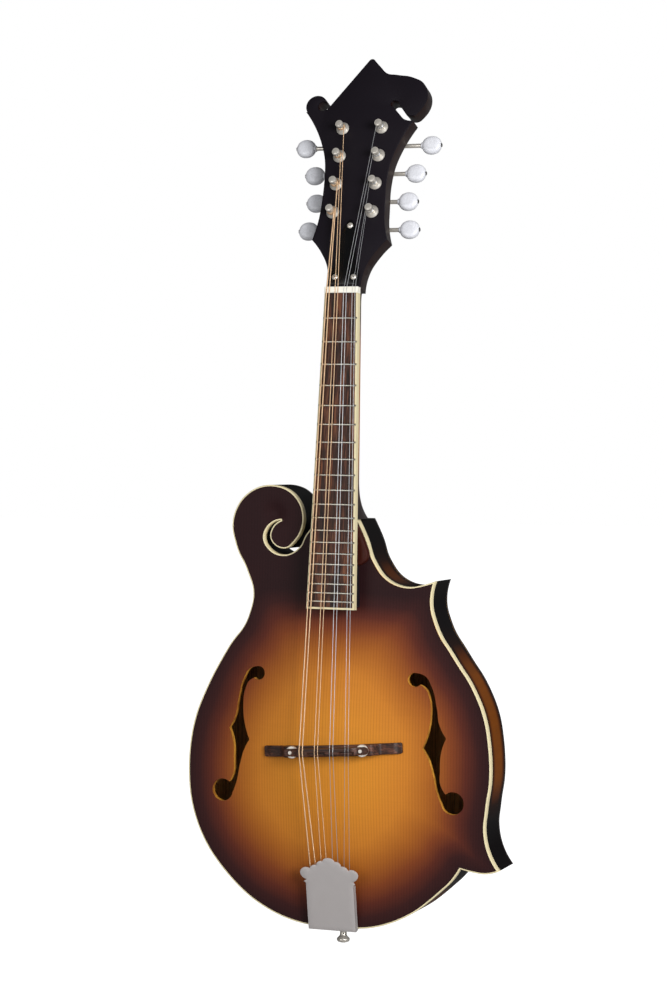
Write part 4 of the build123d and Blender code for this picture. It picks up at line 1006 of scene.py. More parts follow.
def turned(
        profile: list, origin: Points, axis: Points, count: int = 40, wrap: bool = False,
        ripple: Callable[[np.ndarray], np.ndarray] | None = None) -> tuple[Points, np.ndarray]:
    """A profile turned about an axis.

    Args:
        profile: radius and height pairs. One that starts and ends on the axis is closed by its poles.
        origin: the axis's start.
        axis: its direction.
        count: points round it.
        wrap: whether the profile is a closed ring.
        ripple: function of angle that is added to every radius above zero.

    Returns:
        Points and faces.
    """
    axis = np.asarray(axis, float) / np.linalg.norm(axis)
    side = np.cross(axis, ASKEW)
    side /= np.linalg.norm(side)
    other = np.cross(axis, side)
    angle = np.linspace(0, 2 * np.pi, count, endpoint=False)
    radius, height = np.array(profile, float).T
    radius = radius[:, None] + (ripple(angle) * (radius[:, None] > 0.01) if ripple else 0 * angle)
    ring = np.cos(angle)[:, None] * side + np.sin(angle)[:, None] * other
    points = np.asarray(origin, float) + radius[..., None] * ring + height[:, None, None] * axis
    return points.reshape(-1, 3), grid_quads(len(profile), count, wrap_rows=wrap, wrap_columns=True)


def joined(parts: list) -> tuple[Points, np.ndarray]:
    """Several meshes of the same kind of face, as one."""
    points, faces, start = [], [], 0
    for places, quads in parts:
        points.append(places)
        faces.append(quads + start)
        start += len(places)
    return np.vstack(points), np.vstack(faces)


def tube(path: Points, radius: float, up: Points, count: int = 12) -> tuple[Points, np.ndarray, np.ndarray]:
    """A round bar along a path, closed by a pole at each end.

    The ring at each point lies in the plane of up x tangent and tangent x (up x tangent).

    Args:
        path: points of its middle line.
        radius: its radius.
        up: a direction that the path never runs along.
        count: points round it.

    Returns:
        Points, faces and the length along the path at each point.
    """
    heading = np.gradient(path, axis=0)
    heading /= np.linalg.norm(heading, axis=1)[:, None]
    side = np.cross(np.asarray(up, float), heading)
    side /= np.linalg.norm(side, axis=1)[:, None]
    other = np.cross(heading, side)
    angle = np.linspace(0, 2 * np.pi, count, endpoint=False)[None, :, None]
    rings = path[:, None] + radius * (np.cos(angle) * side[:, None] + np.sin(angle) * other[:, None])
    ends = [np.repeat(path[i][None, None], count, 1) for i in (0, -1)]
    rings = np.concatenate([ends[0], rings, ends[1]])
    along = np.concatenate([[0], np.cumsum(np.linalg.norm(np.diff(path, axis=0), axis=1))])
    along = np.concatenate([[0], along, along[-1:]])
    faces = grid_quads(len(rings), count, wrap_columns=True)
    return rings.reshape(-1, 3), faces, np.repeat(along, count) * MM


# ---- body ------------------------------------------------------------------------------------------
@dataclass
class Body:
    """Soundboard, back, sides and the celluloid round the soundboard's edge.

    Args:
        plate: thickness of both plates.
        rib: thickness of the sides.
        binding: width and depth of the celluloid.
        edge_round: radius of the back's outer edge.
        meshing: spacing of the points inside the soundboard and the back.
        shades: z above which the dark upper end of the burst starts, on the soundboard and the back.
        softness: how gently the soundboard's edge shade runs into the upper one.
        flank: limits of the light wood along each flank, up the body.
        tail: limits of the light wood beside the tail, from the middle outwards.
        cutaway: x, z and spread of the light wood inside the treble cutaway.
        outline: the body's outline.
    """

    plate: float = 4.5
    rib: float = 2.6
    binding: tuple = (1.1, 5.6)
    edge_round: float = 1.5
    meshing: tuple = (2.6, 3.0)
    shades: tuple = (266.0, 300.0)
    softness: float = 7.0
    flank: tuple = ((86, 128), (196, 242))
    tail: tuple = ((22, 44), (78, 100))
    cutaway: tuple = (40.0, 279.0, 300.0)
    outline: Outline = field(default_factory=lambda: Outline(TREBLE_SIDE + BASS_SIDE))

    def sound_holes(self) -> list:
        """The loops of both sound holes: a stem and two eyes each."""
        stem = Outline(F_HOLE, 0.7).points
        loops = []
        for side in SIDES:
            mirror = np.array([side, 1.0])
            loops.append(without_doubles(stem * mirror))
            loops += [circle(x, z, r) * mirror for x, z, r in F_HOLE_EYES]
        return loops

    def top(self) -> Piece:
        """The soundboard: a carved shell with its two sound holes and a sunburst.

        Returns:
            The piece. Its attribute burst is the depth inside the outline, held down towards the neck: the
            soft minimum -s ln(exp(-depth / s) + exp(-upper / s)), with s the softness.
        """
        region = Region([without_doubles(self.outline.inset(self.binding[0]))], self.sound_holes())
        flat, triangles = region.triangles(self.meshing[0])
        x, z = flat.T
        y = top_surface(x, z)
        front = np.column_stack([x, y, z])
        back = np.column_stack([x, y + self.plate, z])
        depth = segment_distance(flat, self.outline.points)
        upper = np.clip(self.shades[0] - z, 0, BURST_DEPTH)
        burst = -self.softness * np.log(np.exp(-depth / self.softness) + np.exp(-upper / self.softness))
        burst = np.clip(burst, 0, BURST_DEPTH) / BURST_DEPTH
        points, faces, kind = shell(front, triangles, back)
        return make_piece(
            "soundboard", points, faces, Finishes.SPRUCE, Finishes.SAWN_EDGE, replaces=("top_plate",),
            face_finish=(kind > 0).astype(int), attributes={"burst": np.tile(burst, 2)})

    def back(self) -> Piece:
        """The back: a carved shell with a rounded outer edge.

        Returns:
            The piece, with the attribute burst as on the soundboard.
        """
        region = Region([without_doubles(self.outline.points)])
        flat, triangles = region.triangles(self.meshing[1], (0.3 * self.edge_round, self.edge_round))
        x, z = flat.T
        depth = region.depth(flat)
        y = BACK + arch(x, z, BACK_RISE)
        front = np.column_stack([x, y - roundover(depth, self.edge_round), z])
        back = np.column_stack([x, y - self.plate, z])
        upper = np.clip(self.shades[1] - z, 0, BURST_DEPTH)
        burst = np.clip(np.minimum(depth * 1.1, upper), 0, BURST_DEPTH) / BURST_DEPTH
        points, faces, kind = shell(front, triangles[:, ::-1], back)
        return make_piece(
            "back", points, faces, Finishes.MAPLE_BACK, Finishes.INNER_WOOD, replaces=("back_plate",),
            face_finish=(kind == 1).astype(int), attributes={"burst": np.tile(burst, 2)})

    def swept(self, profile: list) -> tuple[Points, np.ndarray]:
        """A closed profile of inset and depth pairs, carried round the outline."""
        rings = []
        for inset, y in profile:
            row = self.outline.inset(inset)
            rings.append(np.column_stack([row[:, 0], np.full(len(row), y), row[:, 1]]))
        return np.vstack(rings), grid_quads(len(rings), len(rings[0]), wrap_rows=True, wrap_columns=True)

    def sides(self) -> Piece:
        """The bent sides: an outer and an inner wall carried round the outline.

        Returns:
            The piece. Its attribute burst is 1 along the middle of each flank and falls to 0 towards the
            points, the neck and both plates, and along is the length round the outline.
        """
        start = FRONT + self.binding[1]
        end = BACK - self.plate
        ledge = FRONT + self.plate + 2 * GAP
        profile = [(0.0, y) for y in np.linspace(start, end, 9)]
        profile += [(self.rib, end), (self.rib, ledge), (self.binding[0], ledge), (self.binding[0], start)]
        points, quads = self.swept(profile)
        x, y, z = points.T
        flank = window(z, *self.flank)
        tail = 0.8 * (1 - smoothstep(26, 52, z)) * window(np.abs(x), *self.tail)
        middle = 1 - 0.75 * smoothstep(0.45, 1.0, np.abs(y - (start + end) / 2) / ((end - start) / 2))
        cut_x, cut_z, spread = self.cutaway
        cutaway = 0.62 * np.exp(-((x - cut_x) ** 2 + (z - cut_z) ** 2) / spread)
        burst = np.maximum.reduce([flank, tail, cutaway]) * middle
        along = np.tile(self.outline.along, len(profile)) * MM
        return make_piece(
            "sides", points, quads, Finishes.MAPLE_SIDE, replaces=("ribs",),
            attributes={"burst": burst, "along": along})

    def edge_binding(self) -> Piece:
        """The celluloid strip, with its outer corner scraped round."""
        width, depth = self.binding
        profile = [
            (0.0, FRONT + depth), (0.0, FRONT + 0.55), (0.16, FRONT + 0.16), (0.55, FRONT), (width, FRONT),
            (width, FRONT + depth)]
        points, quads = self.swept(profile)
        return make_piece("edge_binding", points, quads, Finishes.CELLULOID, replaces=("top_binding",))

    def build(self) -> None:
        """Makes every piece of the body."""
        self.top()
        self.back()
        self.sides()
        self.edge_binding()


# ---- neck and headstock ----------------------------------------------------------------------------
@dataclass
class Neck:
    """Neck, heel, headstock and its black face.

    Args:
        heel_run: length of the heel's curve.
        heel_power: how steeply the heel falls away from the body.
        heel_waist: share by which the heel narrows towards its back.
        depths: wood below the board at the nut and at the heel.
        throat: distance above the nut and half width of the headstock's root there.
        curl: x, height and radius of the curl.
        curl_eye: the same of the hole in it.
    """

    heel_run: float = 28.0
    heel_power: float = 2.14
    heel_waist: float = 0.26
    depths: tuple = (14.0, 17.0)
    throat: tuple = ((0, 13.6), (4.9, 13.6), (13.9, 13.8), (23.9, 16.2), (32, 20.5))
    curl: tuple = (-41.2, 156.4, 9.0)
    curl_eye: tuple = (-36.0, 156.2, 4.2)

    def head_region(self) -> Region:
        """The headstock's outline with its pierced curl."""
        outline = without_doubles(Outline(HEAD_OUTLINE).points)
        return Region([outline, circle(*self.curl)], [circle(*self.curl_eye, 24)])

    def shaft(self) -> Piece:
        """The neck from the body to the headstock, as one smooth grid.

        A section is a superellipse: x = w cos(a)^(2/n), depth = D sin(a)^(2/n). It grows from n = 2 to a
        fuller heel, whose extra depth is (1 - u)^p of the way to the back, and turns into the headstock's
        flat back past the nut.

        Returns:
            The piece.
        """
        heel_end, throat_start, throat_end = BODY_END + self.heel_run, NUT_AT[1] - 14, NUT_AT[1] + 30
        stations = np.concatenate([
            np.linspace(BODY_END, heel_end, 26), np.linspace(heel_end, throat_start, 40)[1:],
            np.linspace(throat_start, throat_end, 34)[1:]])
        angle = np.linspace(0, np.pi, 41)
        along = (stations - NUT_AT[1]) / math.cos(PITCH)
        share = np.clip(-along / 180, 0, 1)
        heel = 1 - np.clip((stations - BODY_END) / self.heel_run, 0, 1)
        wood = self.depths[0] + (self.depths[1] - self.depths[0]) * share
        under = under_board(stations)
        depth = wood + heel ** self.heel_power * (BACK - (under + wood))
        half = board_half_width(np.maximum(-along, 0))
        corner = 2 / (2 + 0.9 * heel)[:, None]
        cos, sin = np.cos(angle), np.sin(angle)
        waist = 1 - self.heel_waist * heel[:, None] ** 1.5 * np.abs(sin) ** 2
        x = half[:, None] * np.sign(cos) * np.abs(cos) ** corner * waist
        y = under[:, None] + depth[:, None] * np.abs(sin) ** corner
        on_board = np.stack([x, y, np.repeat(stations[:, None], len(angle), 1)], -1)
        head_half = np.interp(along, *zip(*self.throat))
        square = 2 / 7.0
        head_x = head_half[:, None] * np.sign(cos) * np.abs(cos) ** square
        head_low = HEAD_BACK + OVERLAY + GAP
        head_z = -OVERLAY - GAP + head_low * np.abs(sin) ** square + 0 * head_x
        local = np.stack([head_x, np.repeat(along[:, None] - NUT_THICK, len(angle), 1), head_z], -1)
        on_head = HEAD.at(local.reshape(-1, 3)).reshape(local.shape)
        turn = smoothstep(-10, 22, along)[:, None, None]
        grid = (1 - turn) * on_board + turn * on_head
        rows, columns = grid.shape[:2]
        lid = [list(range(row * columns, (row + 1) * columns)) for row in (0, rows - 1)]
        left = np.arange(rows) * columns
        right = left + columns - 1
        flat_top = np.stack([left[:-1], left[1:], right[1:], right[:-1]], 1).tolist()
        faces = grid_quads(rows, columns)[:, ::-1].tolist() + [lid[0][::-1], lid[1]] + flat_top
        burst = smoothstep(6, 62, stations - BODY_END) * (1 - smoothstep(-52, -8, along))
        return make_piece(
            "neck_shaft", grid.reshape(-1, 3), faces, Finishes.MAPLE_NECK, replaces=("neck",),
            attributes={"burst": np.repeat(burst, columns)})

    def headstock(self) -> None:
        """The headstock's wood, stained dark all over (its burst is 0), and its black face."""
        region = self.head_region()
        core = slab_piece(
            "headstock", region, HEAD, HEAD_BACK, -OVERLAY - 0.02, Finishes.MAPLE_NECK, edge=0,
            low_edge=1.3, replaces=("neck",))
        core.data.attributes.new("burst", "FLOAT", "POINT")
        slab_piece(
            "headstock_face", region, HEAD, -OVERLAY, 0.0, Finishes.BLACK_LACQUER, edge=0.35,
            replaces=("head_overlay",))

    def truss_cover(self) -> None:
        """The bell-shaped cover over the truss rod's nut, and its three screws."""
        right = [[(11.8, 2.0), (12.0, 9.5), (8.4, 19), (6.4, 33), (6.0, 46), (0, 57.0)]]
        bell = Outline(right + mirrored(right) + [[(-11.8, 2.0), (11.8, 2.0)]])
        slab_piece(
            "truss_rod_bell", Region([without_doubles(bell.points)]), HEAD, 0.02, 1.8,
            Finishes.BLACK_PLASTIC, edge=0.45, replaces=("truss_rod_cover",))
        dome = [
            (0, 1.2), (0.5, 1.2), (0.55, 2.75), (1.4, 2.6), (2.1, 2.2), (2.5, 1.6), (2.4, 1.2), (0, 1.0)]
        screws = ((0, 51.5), (-7.75, 8.2), (7.75, 8.2))
        points, faces = joined([turned(dome, HEAD.at([x, t, 0]), HEAD.out, 28) for x, t in screws])
        make_piece("bell_screws", points, faces, Finishes.NICKEL, replaces=("truss_cover_screws",))

    def build(self) -> None:
        """Makes the neck and the headstock."""
        self.shaft()
        self.headstock()
        self.truss_cover()


@dataclass
class Fingerboard:
    """Rosewood board with its binding, frets, dots, nut and the riser under its end.

    Args:
        length: from the nut to its end.
        edge: width of its binding.
        frets: number of frets.
        crown: width and height of a fret.
        short: how much shorter a fret is than the board is wide, at each end.
        marks: frets that have a dot in the space below them.
        nut_high: the nut's height at its near edge, and its fall for each millimetre towards the head.
        groove: depth of the nut's grooves.
    """

    length: float = 247.5
    edge: float = 1.5
    frets: int = 20
    crown: tuple = (1.7, 1.0)
    short: float = 0.2
    marks: tuple = (3, 5, 7, 10, 12, 15)
    nut_high: tuple = (1.7, 0.10)
    groove: float = 0.35

    def corners(self, inset: float) -> Loop:
        """The board's corners on its own plane, moved in at the sides and the far end."""
        near = NUT_WIDTH / 2 - inset
        far = float(board_half_width(np.array(self.length))) - inset
        end = -self.length + inset
        return np.array([(-near, 0), (-far, end), (far, end), (near, 0)])

    def board(self) -> None:
        """The rosewood and the celluloid strip round it."""
        inner, outer = self.corners(self.edge), self.corners(0)
        slab_piece(
            "rosewood_board", Region([inner]), BOARD, -BOARD_THICK, 0.0, Finishes.ROSEWOOD, edge=0,
            replaces=("fingerboard",))
        strip = np.vstack([outer, inner[::-1]])
        slab_piece(
            "board_binding", Region([strip]), BOARD, -BOARD_THICK, 0.02, Finishes.CELLULOID, edge=0,
            replaces=("fingerboard_binding",))

    def wires(self) -> None:
        """The frets: half an ellipse across the wire, carried over the board with bevelled ends."""
        number = np.arange(1, self.frets + 1)
        distance = SCALE * (1 - 2 ** (-number / 12))
        half = board_half_width(distance) - self.short
        angle = np.linspace(0, np.pi, 11)
        across = self.crown[0] / 2 * np.cos(angle)
        height = self.crown[1] * np.sin(angle)
        share = np.array([-1.0, -0.985, -0.94, 0, 0.94, 0.985, 1.0])
        rise = np.array([0.0, 0.75, 1.0, 1.0, 1.0, 0.75, 0.0])
        x = half[:, None, None] * share[None, :, None] + 0 * across
        t = -distance[:, None, None] + across + 0 * x
        h = rise[None, :, None] * height + 0 * x - GAP
        grid = np.stack([x, t, h], -1)
        quads = grid_quads(len(share), len(angle), wrap_columns=True)
        points, faces = joined([(BOARD.at(wire.reshape(-1, 3)), quads) for wire in grid])
        make_piece("fret_wires", points, faces, Finishes.FRET_WIRE, replaces=("frets",))

    def dots(self) -> None:
        """Round dots in the bass side of the board's binding."""
        number = np.array(self.marks)
        distance = SCALE * (1 - (2 ** (-number / 12) + 2 ** (-(number - 1) / 12)) / 2)
        dot = [(0, 0.06), (0.9, 0.06), (1.0, 0), (1.0, -0.4), (0, -0.4)]
        points, faces = joined([
            turned(dot, BOARD.at([-board_half_width(away), -away, -BOARD_THICK / 2]), (-1, 0, 0), 20)
            for away in distance])
        make_piece("side_marker_dots", points, faces, Finishes.DOT, replaces=("side_dots",))

    def nut_block(self, strings: list) -> None:
        """The nut, with a groove for each string.

        Args:
            strings: each string's place across the nut and its diameter.
        """
        half, near, far = NUT_WIDTH / 2, 0.02, NUT_THICK - 0.02
        region = Region([np.array([(-half, near), (half, near), (half, far), (-half, far)])])

        def crown(flat: Points) -> np.ndarray:
            """The nut's top, leaning back, with a square groove at each string."""
            height = self.nut_high[0] - self.nut_high[1] * flat[:, 1]
            for place, diameter in strings:
                away = np.abs(flat[:, 0] - place)
                height -= np.where(away < diameter * 0.7, self.groove, 0.0)
            return height

        slab_piece(
            "bone_nut", region, BOARD, -BOARD_THICK, crown, Finishes.BONE, edge=0.5, spacing=0.45,
            replaces=("nut",))

    def riser(self) -> None:
        """The support under the board over the body, and the carved shoulder on its treble side."""
        top = Place((0, 0, 0), (0, 0, 1), (0, -1, 0))
        end = NUT_AT[1] - (self.length - 1.5) * math.cos(PITCH)
        half = float(board_half_width(np.array(self.length))) - 1.2
        high = BODY_END - 0.1
        strip = np.array([(-half, end), (half, end), (14.75, high), (-14.75, high)])

        def under(flat: Points) -> np.ndarray:
            """Forward height of the board's underside."""
            return -(under_board(flat[:, 1]) + GAP)

        def skin(flat: Points) -> np.ndarray:
            """Forward height of the soundboard."""
            return -top_surface(flat[:, 0], flat[:, 1]) - 0.3

        slab_piece(
            "board_riser", Region([strip]), top, skin, under, Finishes.BLACK_LACQUER, edge=0, spacing=5.0,
            replaces=("fingerboard_riser",))
        runs = [
            [(16.0, 317.0), (14.0, 317.0)], [(14.0, 317.0), (14.0, 285.0)],
            [(14.0, 285.0), (19.8, 286.6), (24.4, 290.5), (25.2, 296.5)],
            [(25.2, 296.5), (20.5, 308.5), (16.0, 317.0)]]
        shoulder = Outline(runs, 0.8)
        piece = slab_piece(
            "neck_shoulder", Region([without_doubles(shoulder.points)]), top, skin, -FRONT + 5.0,
            Finishes.MAPLE_NECK, edge=2.6, spacing=1.2, replaces=("fingerboard_riser",))
        shade = np.full(len(piece.data.vertices), 0.18, np.float32)
        piece.data.attributes.new("burst", "FLOAT", "POINT").data.foreach_set("value", shade)

    def build(self, strings: list) -> None:
        """Makes the board and everything on it."""
        self.board()
        self.wires()
        self.dots()
        self.nut_block(strings)
        self.riser()


# ---- strings ---------------------------------------------------------------------------------------
@dataclass
class Strings:
    """Eight strings in four pairs, bass to treble.

    Args:
        at_nut: spacing of the pairs and within a pair at the nut.
        at_bridge: the same at the bridge.
        at_post: rank of each string's post, from the nut upwards.
        nut_spot: where a string lies in the nut, above the board's end and above its plane.
        hook_pitch: spacing of the hooks.
        hook: y and z of the hooks.
        barrel: radius of the post under the winding.
        wound: how many strings are wound, from the lowest.
        turns: turns round the post of a wound and of a plain string.
        lead: spacing of those turns in string diameters.
    """

    at_nut: tuple = (7.07, 2.3)
    at_bridge: tuple = (12.6, 2.7)
    at_post: tuple = (0, 1, 2, 3, 3, 2, 1, 0)
    nut_spot: tuple = (2.45, 1.4)
    hook_pitch: float = 4.6
    hook: tuple = (-33.6, 44.8)
    barrel: float = 2.45
    wound: int = 4
    turns: tuple = (3.2, 4.2)
    lead: float = 1.06

    def finish(self, number: int) -> Finishes:
        """The finish of a string's wire."""
        return Finishes.BRONZE if number < self.wound else Finishes.PLAIN_STEEL

    def across(self, spacing: tuple, number: int) -> float:
        """A string's place across, from the spacing of the pairs and within a pair."""
        course, member = divmod(number, 2)
        return (course - 1.5) * spacing[0] + (member - 0.5) * spacing[1]

    def nut_places(self) -> list:
        """Each string's place across the nut and its diameter."""
        return [(self.across(self.at_nut, i), STRING_DIAMETERS[i]) for i in range(8)]

    def post_of(self, number: int) -> tuple:
        """Side, rank and tuner number of a string's post.

        Args:
            number: the string, 0 for the lowest.

        Returns:
            Side, rank from the nut, and the tuner's number.
        """
        side = BASS if number < 4 else TREBLE
        rank = self.at_post[number]
        return side, rank, rank + 1 + (4 if side == TREBLE else 0)

    def points_of(self, number: int) -> tuple:
        """The string's points at its post, nut, saddle and hook."""
        radius = STRING_DIAMETERS[number] / 2
        side, rank, _ = self.post_of(number)
        post_x = side * (POST_ROW - self.barrel - radius)
        post = HEAD.at([post_x, POST_FIRST + rank * POST_PITCH, STRING_ON_POST])
        nut = BOARD.at([self.across(self.at_nut, number), *self.nut_spot])
        bridge_x = self.across(self.at_bridge, number)
        saddle = np.array([bridge_x, STRING_Y, BRIDGE_MIDDLE + bridge_x * math.tan(BRIDGE_SLANT)])
        hook = np.array([(number - 3.5) * self.hook_pitch, *self.hook])
        return post, nut, saddle, hook

    def run(self, name: str, start: Points, end: Points, number: int, body: str, rings: int) -> Piece:
        """A straight run of one string.

        Args:
            name: the piece's name.
            start: its first point.
            end: its last point.
            number: the string.
            body: the body that it rides on, or an empty name.
            rings: number of its rings.

        Returns:
            The piece.
        """
        path = start + np.linspace(0, 1, rings)[:, None] * (end - start)
        points, faces, along = tube(path, STRING_DIAMETERS[number] / 2, (1, 0, 0))
        node = "wound_strings" if number < self.wound else "plain_strings"
        return make_piece(
            name, points, faces, self.finish(number), body=body, replaces=(node,),
            attributes={"along": along})

    def winding(self, number: int) -> None:
        """The turns round the post: a helix that starts where the string touches the post.

        Args:
            number: the string.
        """
        diameter = STRING_DIAMETERS[number]
        side, rank, tuner = self.post_of(number)
        turns = self.turns[number >= self.wound]
        angle = np.linspace(0, 2 * np.pi * turns, int(turns * 28))
        reach = self.barrel + diameter / 2
        pitch = diameter * self.lead
        height = STRING_ON_POST - pitch * angle / (2 * np.pi)
        across = side * (POST_ROW - reach * np.cos(angle))
        along = POST_FIRST + rank * POST_PITCH + reach * np.sin(angle)
        local = np.stack([across, along, height], 1)
        points, faces, along = tube(HEAD.at(local), diameter / 2, HEAD.out, 10)
        make_piece(
            f"winding_{tuner}", points, faces, self.finish(number), body=f"string_post_{tuner}",
            attributes={"along": along})

    def build(self) -> None:
        """Makes every string's three runs and its winding. The two runs that meet the saddle belong to no
        body, and their placement is baked into their points.
        """
        for number in range(8):
            post, nut, saddle, hook = self.points_of(number)
            self.run(f"string_{number + 1}_head", post, nut, number, ROOT, 3)
            for part, start, rings in (("board", nut, 25), ("tail", hook, 13)):
                piece = self.run(f"string_{number + 1}_{part}", start, saddle, number, "", rings)
                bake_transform(piece)
            self.winding(number)


# ---- bridge ----------------------------------------------------------------------------------------
@dataclass
class Bridge:
    """Two-footed rosewood base, its studs and thumbwheels, and the saddle that they carry.

    Args:
        length: base along the body's width.
        width: base along the strings.
        high: half length of the base's raised middle.
        base_top: y of the raised middle.
        foot: where the two feet begin.
        saddle: the saddle's length and width.
        spread: studs to the middle.
        wheel: thumbwheel's diameter and height.
        tip: thickness of the base's wings.
        arch_gap: air between the feet, under the base's middle.
        stud: half the stud's thickness and how far it stands above the wheel's seat.
        knurls: number of the wheel's ridges and their height.
    """

    length: float = 114.5
    width: float = 8.6
    high: float = 37.0
    base_top: float = -43.5
    foot: float = 26.0
    saddle: tuple = (69.0, 6.0)
    spread: float = 29.0
    wheel: tuple = (9.8, 2.6)
    tip: float = 3.4
    arch_gap: float = 1.8
    stud: tuple = (1.5, 6.9)
    knurls: tuple = (36, 0.13)

    def slanted(self, points: Points) -> Points:
        """Points made square to the body, turned about the bridge's middle by its slant."""
        cos, sin = math.cos(BRIDGE_SLANT), math.sin(BRIDGE_SLANT)
        x, y, z = np.asarray(points, float).T
        z = z - BRIDGE_MIDDLE
        return np.stack([x * cos - z * sin, y, BRIDGE_MIDDLE + x * sin + z * cos], -1)

    def bar(
            self, name: str, half: float, width: float, low: Height, high: Height, corner: float,
            finish: Finishes, edge: float, **options: object) -> Piece:
        """A bar across the body between two height functions, with rounded ends and edges.

        Args:
            name: the piece's name.
            half: half its length.
            width: its width along the strings.
            low: function of flat points that gives its y at the back.
            high: the same at the front.
            corner: radius of its corners seen from the front.
            finish: its material.
            edge: radius of its front edges.
            options: passed on to make_piece.

        Returns:
            The piece.
        """
        w, c = width / 2, corner
        quarter = np.linspace(0, np.pi / 2, 7)
        signs = ((1, 1), (-1, 1), (-1, -1), (1, -1))
        loop = np.vstack([
            np.stack([sx * (half - c) + c * np.cos(quarter + a), sy * (w - c) + c * np.sin(quarter + a)], 1)
            for (sx, sy), a in zip(signs, (0, 0.5 * np.pi, np.pi, 1.5 * np.pi))])
        span = np.roll(loop, -1, axis=0) - loop
        count = np.maximum(np.ceil(np.hypot(*span.T) / 0.8).astype(int), 1)
        share = np.concatenate([np.arange(n) / n for n in count])[:, None]
        region = Region([without_doubles(np.repeat(loop, count, 0) + share * np.repeat(span, count, 0))])
        flat, triangles = region.triangles(0.9, (0.3 * edge, edge))
        drop = roundover(region.depth(flat), edge)
        front = np.column_stack([flat[:, 0], high(flat) + drop, flat[:, 1] + BRIDGE_MIDDLE])
        back = np.column_stack([flat[:, 0], low(flat), flat[:, 1] + BRIDGE_MIDDLE])
        points, faces, _ = shell(front, triangles, back)
        return make_piece(name, self.slanted(points), faces, finish, **options)

    def base(self) -> None:
        """The base, whose back follows the soundboard at its feet and clears it between them."""
        half = self.length / 2

        def skin(flat: Points) -> np.ndarray:
            """y of the soundboard under a point."""
            return FRONT - arch(flat[:, 0], flat[:, 1] + BRIDGE_MIDDLE, TOP_RISE)

        def low(flat: Points) -> np.ndarray:
            """The base's back."""
            clear = smoothstep(self.foot + 0.6, self.foot - 0.6, np.abs(flat[:, 0]))
            return skin(flat) * (1 - clear) + clear * (FRONT - TOP_RISE - self.arch_gap) - 0.03

        def high(flat: Points) -> np.ndarray:
            """The base's front: flat in the middle, then a quick fall to thin wings."""
            out = np.abs(flat[:, 0])
            wing = skin(np.column_stack([flat[:, 0], 0 * out])) - self.tip
            fall = smoothstep(self.high - 2.5, self.high + 5.0, out)
            tip_fall = 1.2 * smoothstep(half - 6.5, half - 2.5, out)
            return self.base_top * (1 - fall) + (wing + tip_fall) * fall

        self.bar(
            "bridge_foot", half, self.width, low, high, 1.6, Finishes.ROSEWOOD_ACROSS, 0.5,
            replaces=("bridge_base",))

    def crown(self) -> None:
        """The saddle: round ends, and a crest for each pair that steps up and down."""
        half = self.saddle[0] / 2
        back = self.base_top - self.wheel[1] - 0.04

        def low(flat: Points) -> np.ndarray:
            """The saddle's back."""
            return np.full(len(flat), back)

        ends, crest_y, notch_deep = back - 3.4, STRING_Y + 0.45, 2.8

        def high(flat: Points) -> np.ndarray:
            """The saddle's crest with its notches."""
            x, w = flat.T
            crest = smoothstep(half - 7.0, half - 13.0, np.abs(x))
            notch = window(x, (-14.0, -13.0), (-0.1, 0.9)) + window(x, (11.9, 12.9), (23.2, 24.2))
            return ends + (crest_y - ends) * crest + notch_deep * notch * smoothstep(0.2, -0.6, w)

        self.bar(
            "bridge_crown", half, self.saddle[1], low, high, 2.9, Finishes.ROSEWOOD_ACROSS, 0.6,
            body="saddle", replaces=("bridge_saddle",))

    def wheels(self) -> None:
        """Knurled thumbwheels on their studs, and the studs' slotted tips."""
        radius, height = self.wheel[0] / 2, self.wheel[1]
        thick, end = self.stud
        number, deep = self.knurls
        bore = thick + 0.1
        rim = [
            (bore, 0.0), (radius - 0.5, 0.0), (radius, 0.35), (radius, height - 0.35),
            (radius - 0.5, height), (bore, height)]
        tip = [
            (0, -3.5), (thick, -3.5), (thick, end - 0.4), (thick - 0.3, end), (0.35, end), (0.3, end - 0.6),
            (0, end - 0.6)]
        tips = []
        for side, name in zip(SIDES, ("bass", "treble")):
            seat = np.array([(side * self.spread, self.base_top - 0.02, BRIDGE_MIDDLE)])
            middle = self.slanted(seat)[0]
            points, faces = turned(
                rim, middle, (0, -1, 0), 4 * number, wrap=True,
                ripple=lambda a: -deep * (1 + np.cos(number * a)) / 2)
            make_piece(
                f"{name}_knurled_wheel", points, faces, Finishes.NICKEL, body=f"{name}_thumbwheel",
                replaces=(f"thumbwheel_{name}",), sharp=30)
            tips.append(turned(tip, middle, (0, -1, 0), 24))
        points, faces = joined(tips)
        make_piece("threaded_studs", points, faces, Finishes.NICKEL, replaces=("bridge_studs",))

    def build(self) -> None:
        """Makes the whole bridge."""
        self.base()
        self.crown()
        self.wheels()


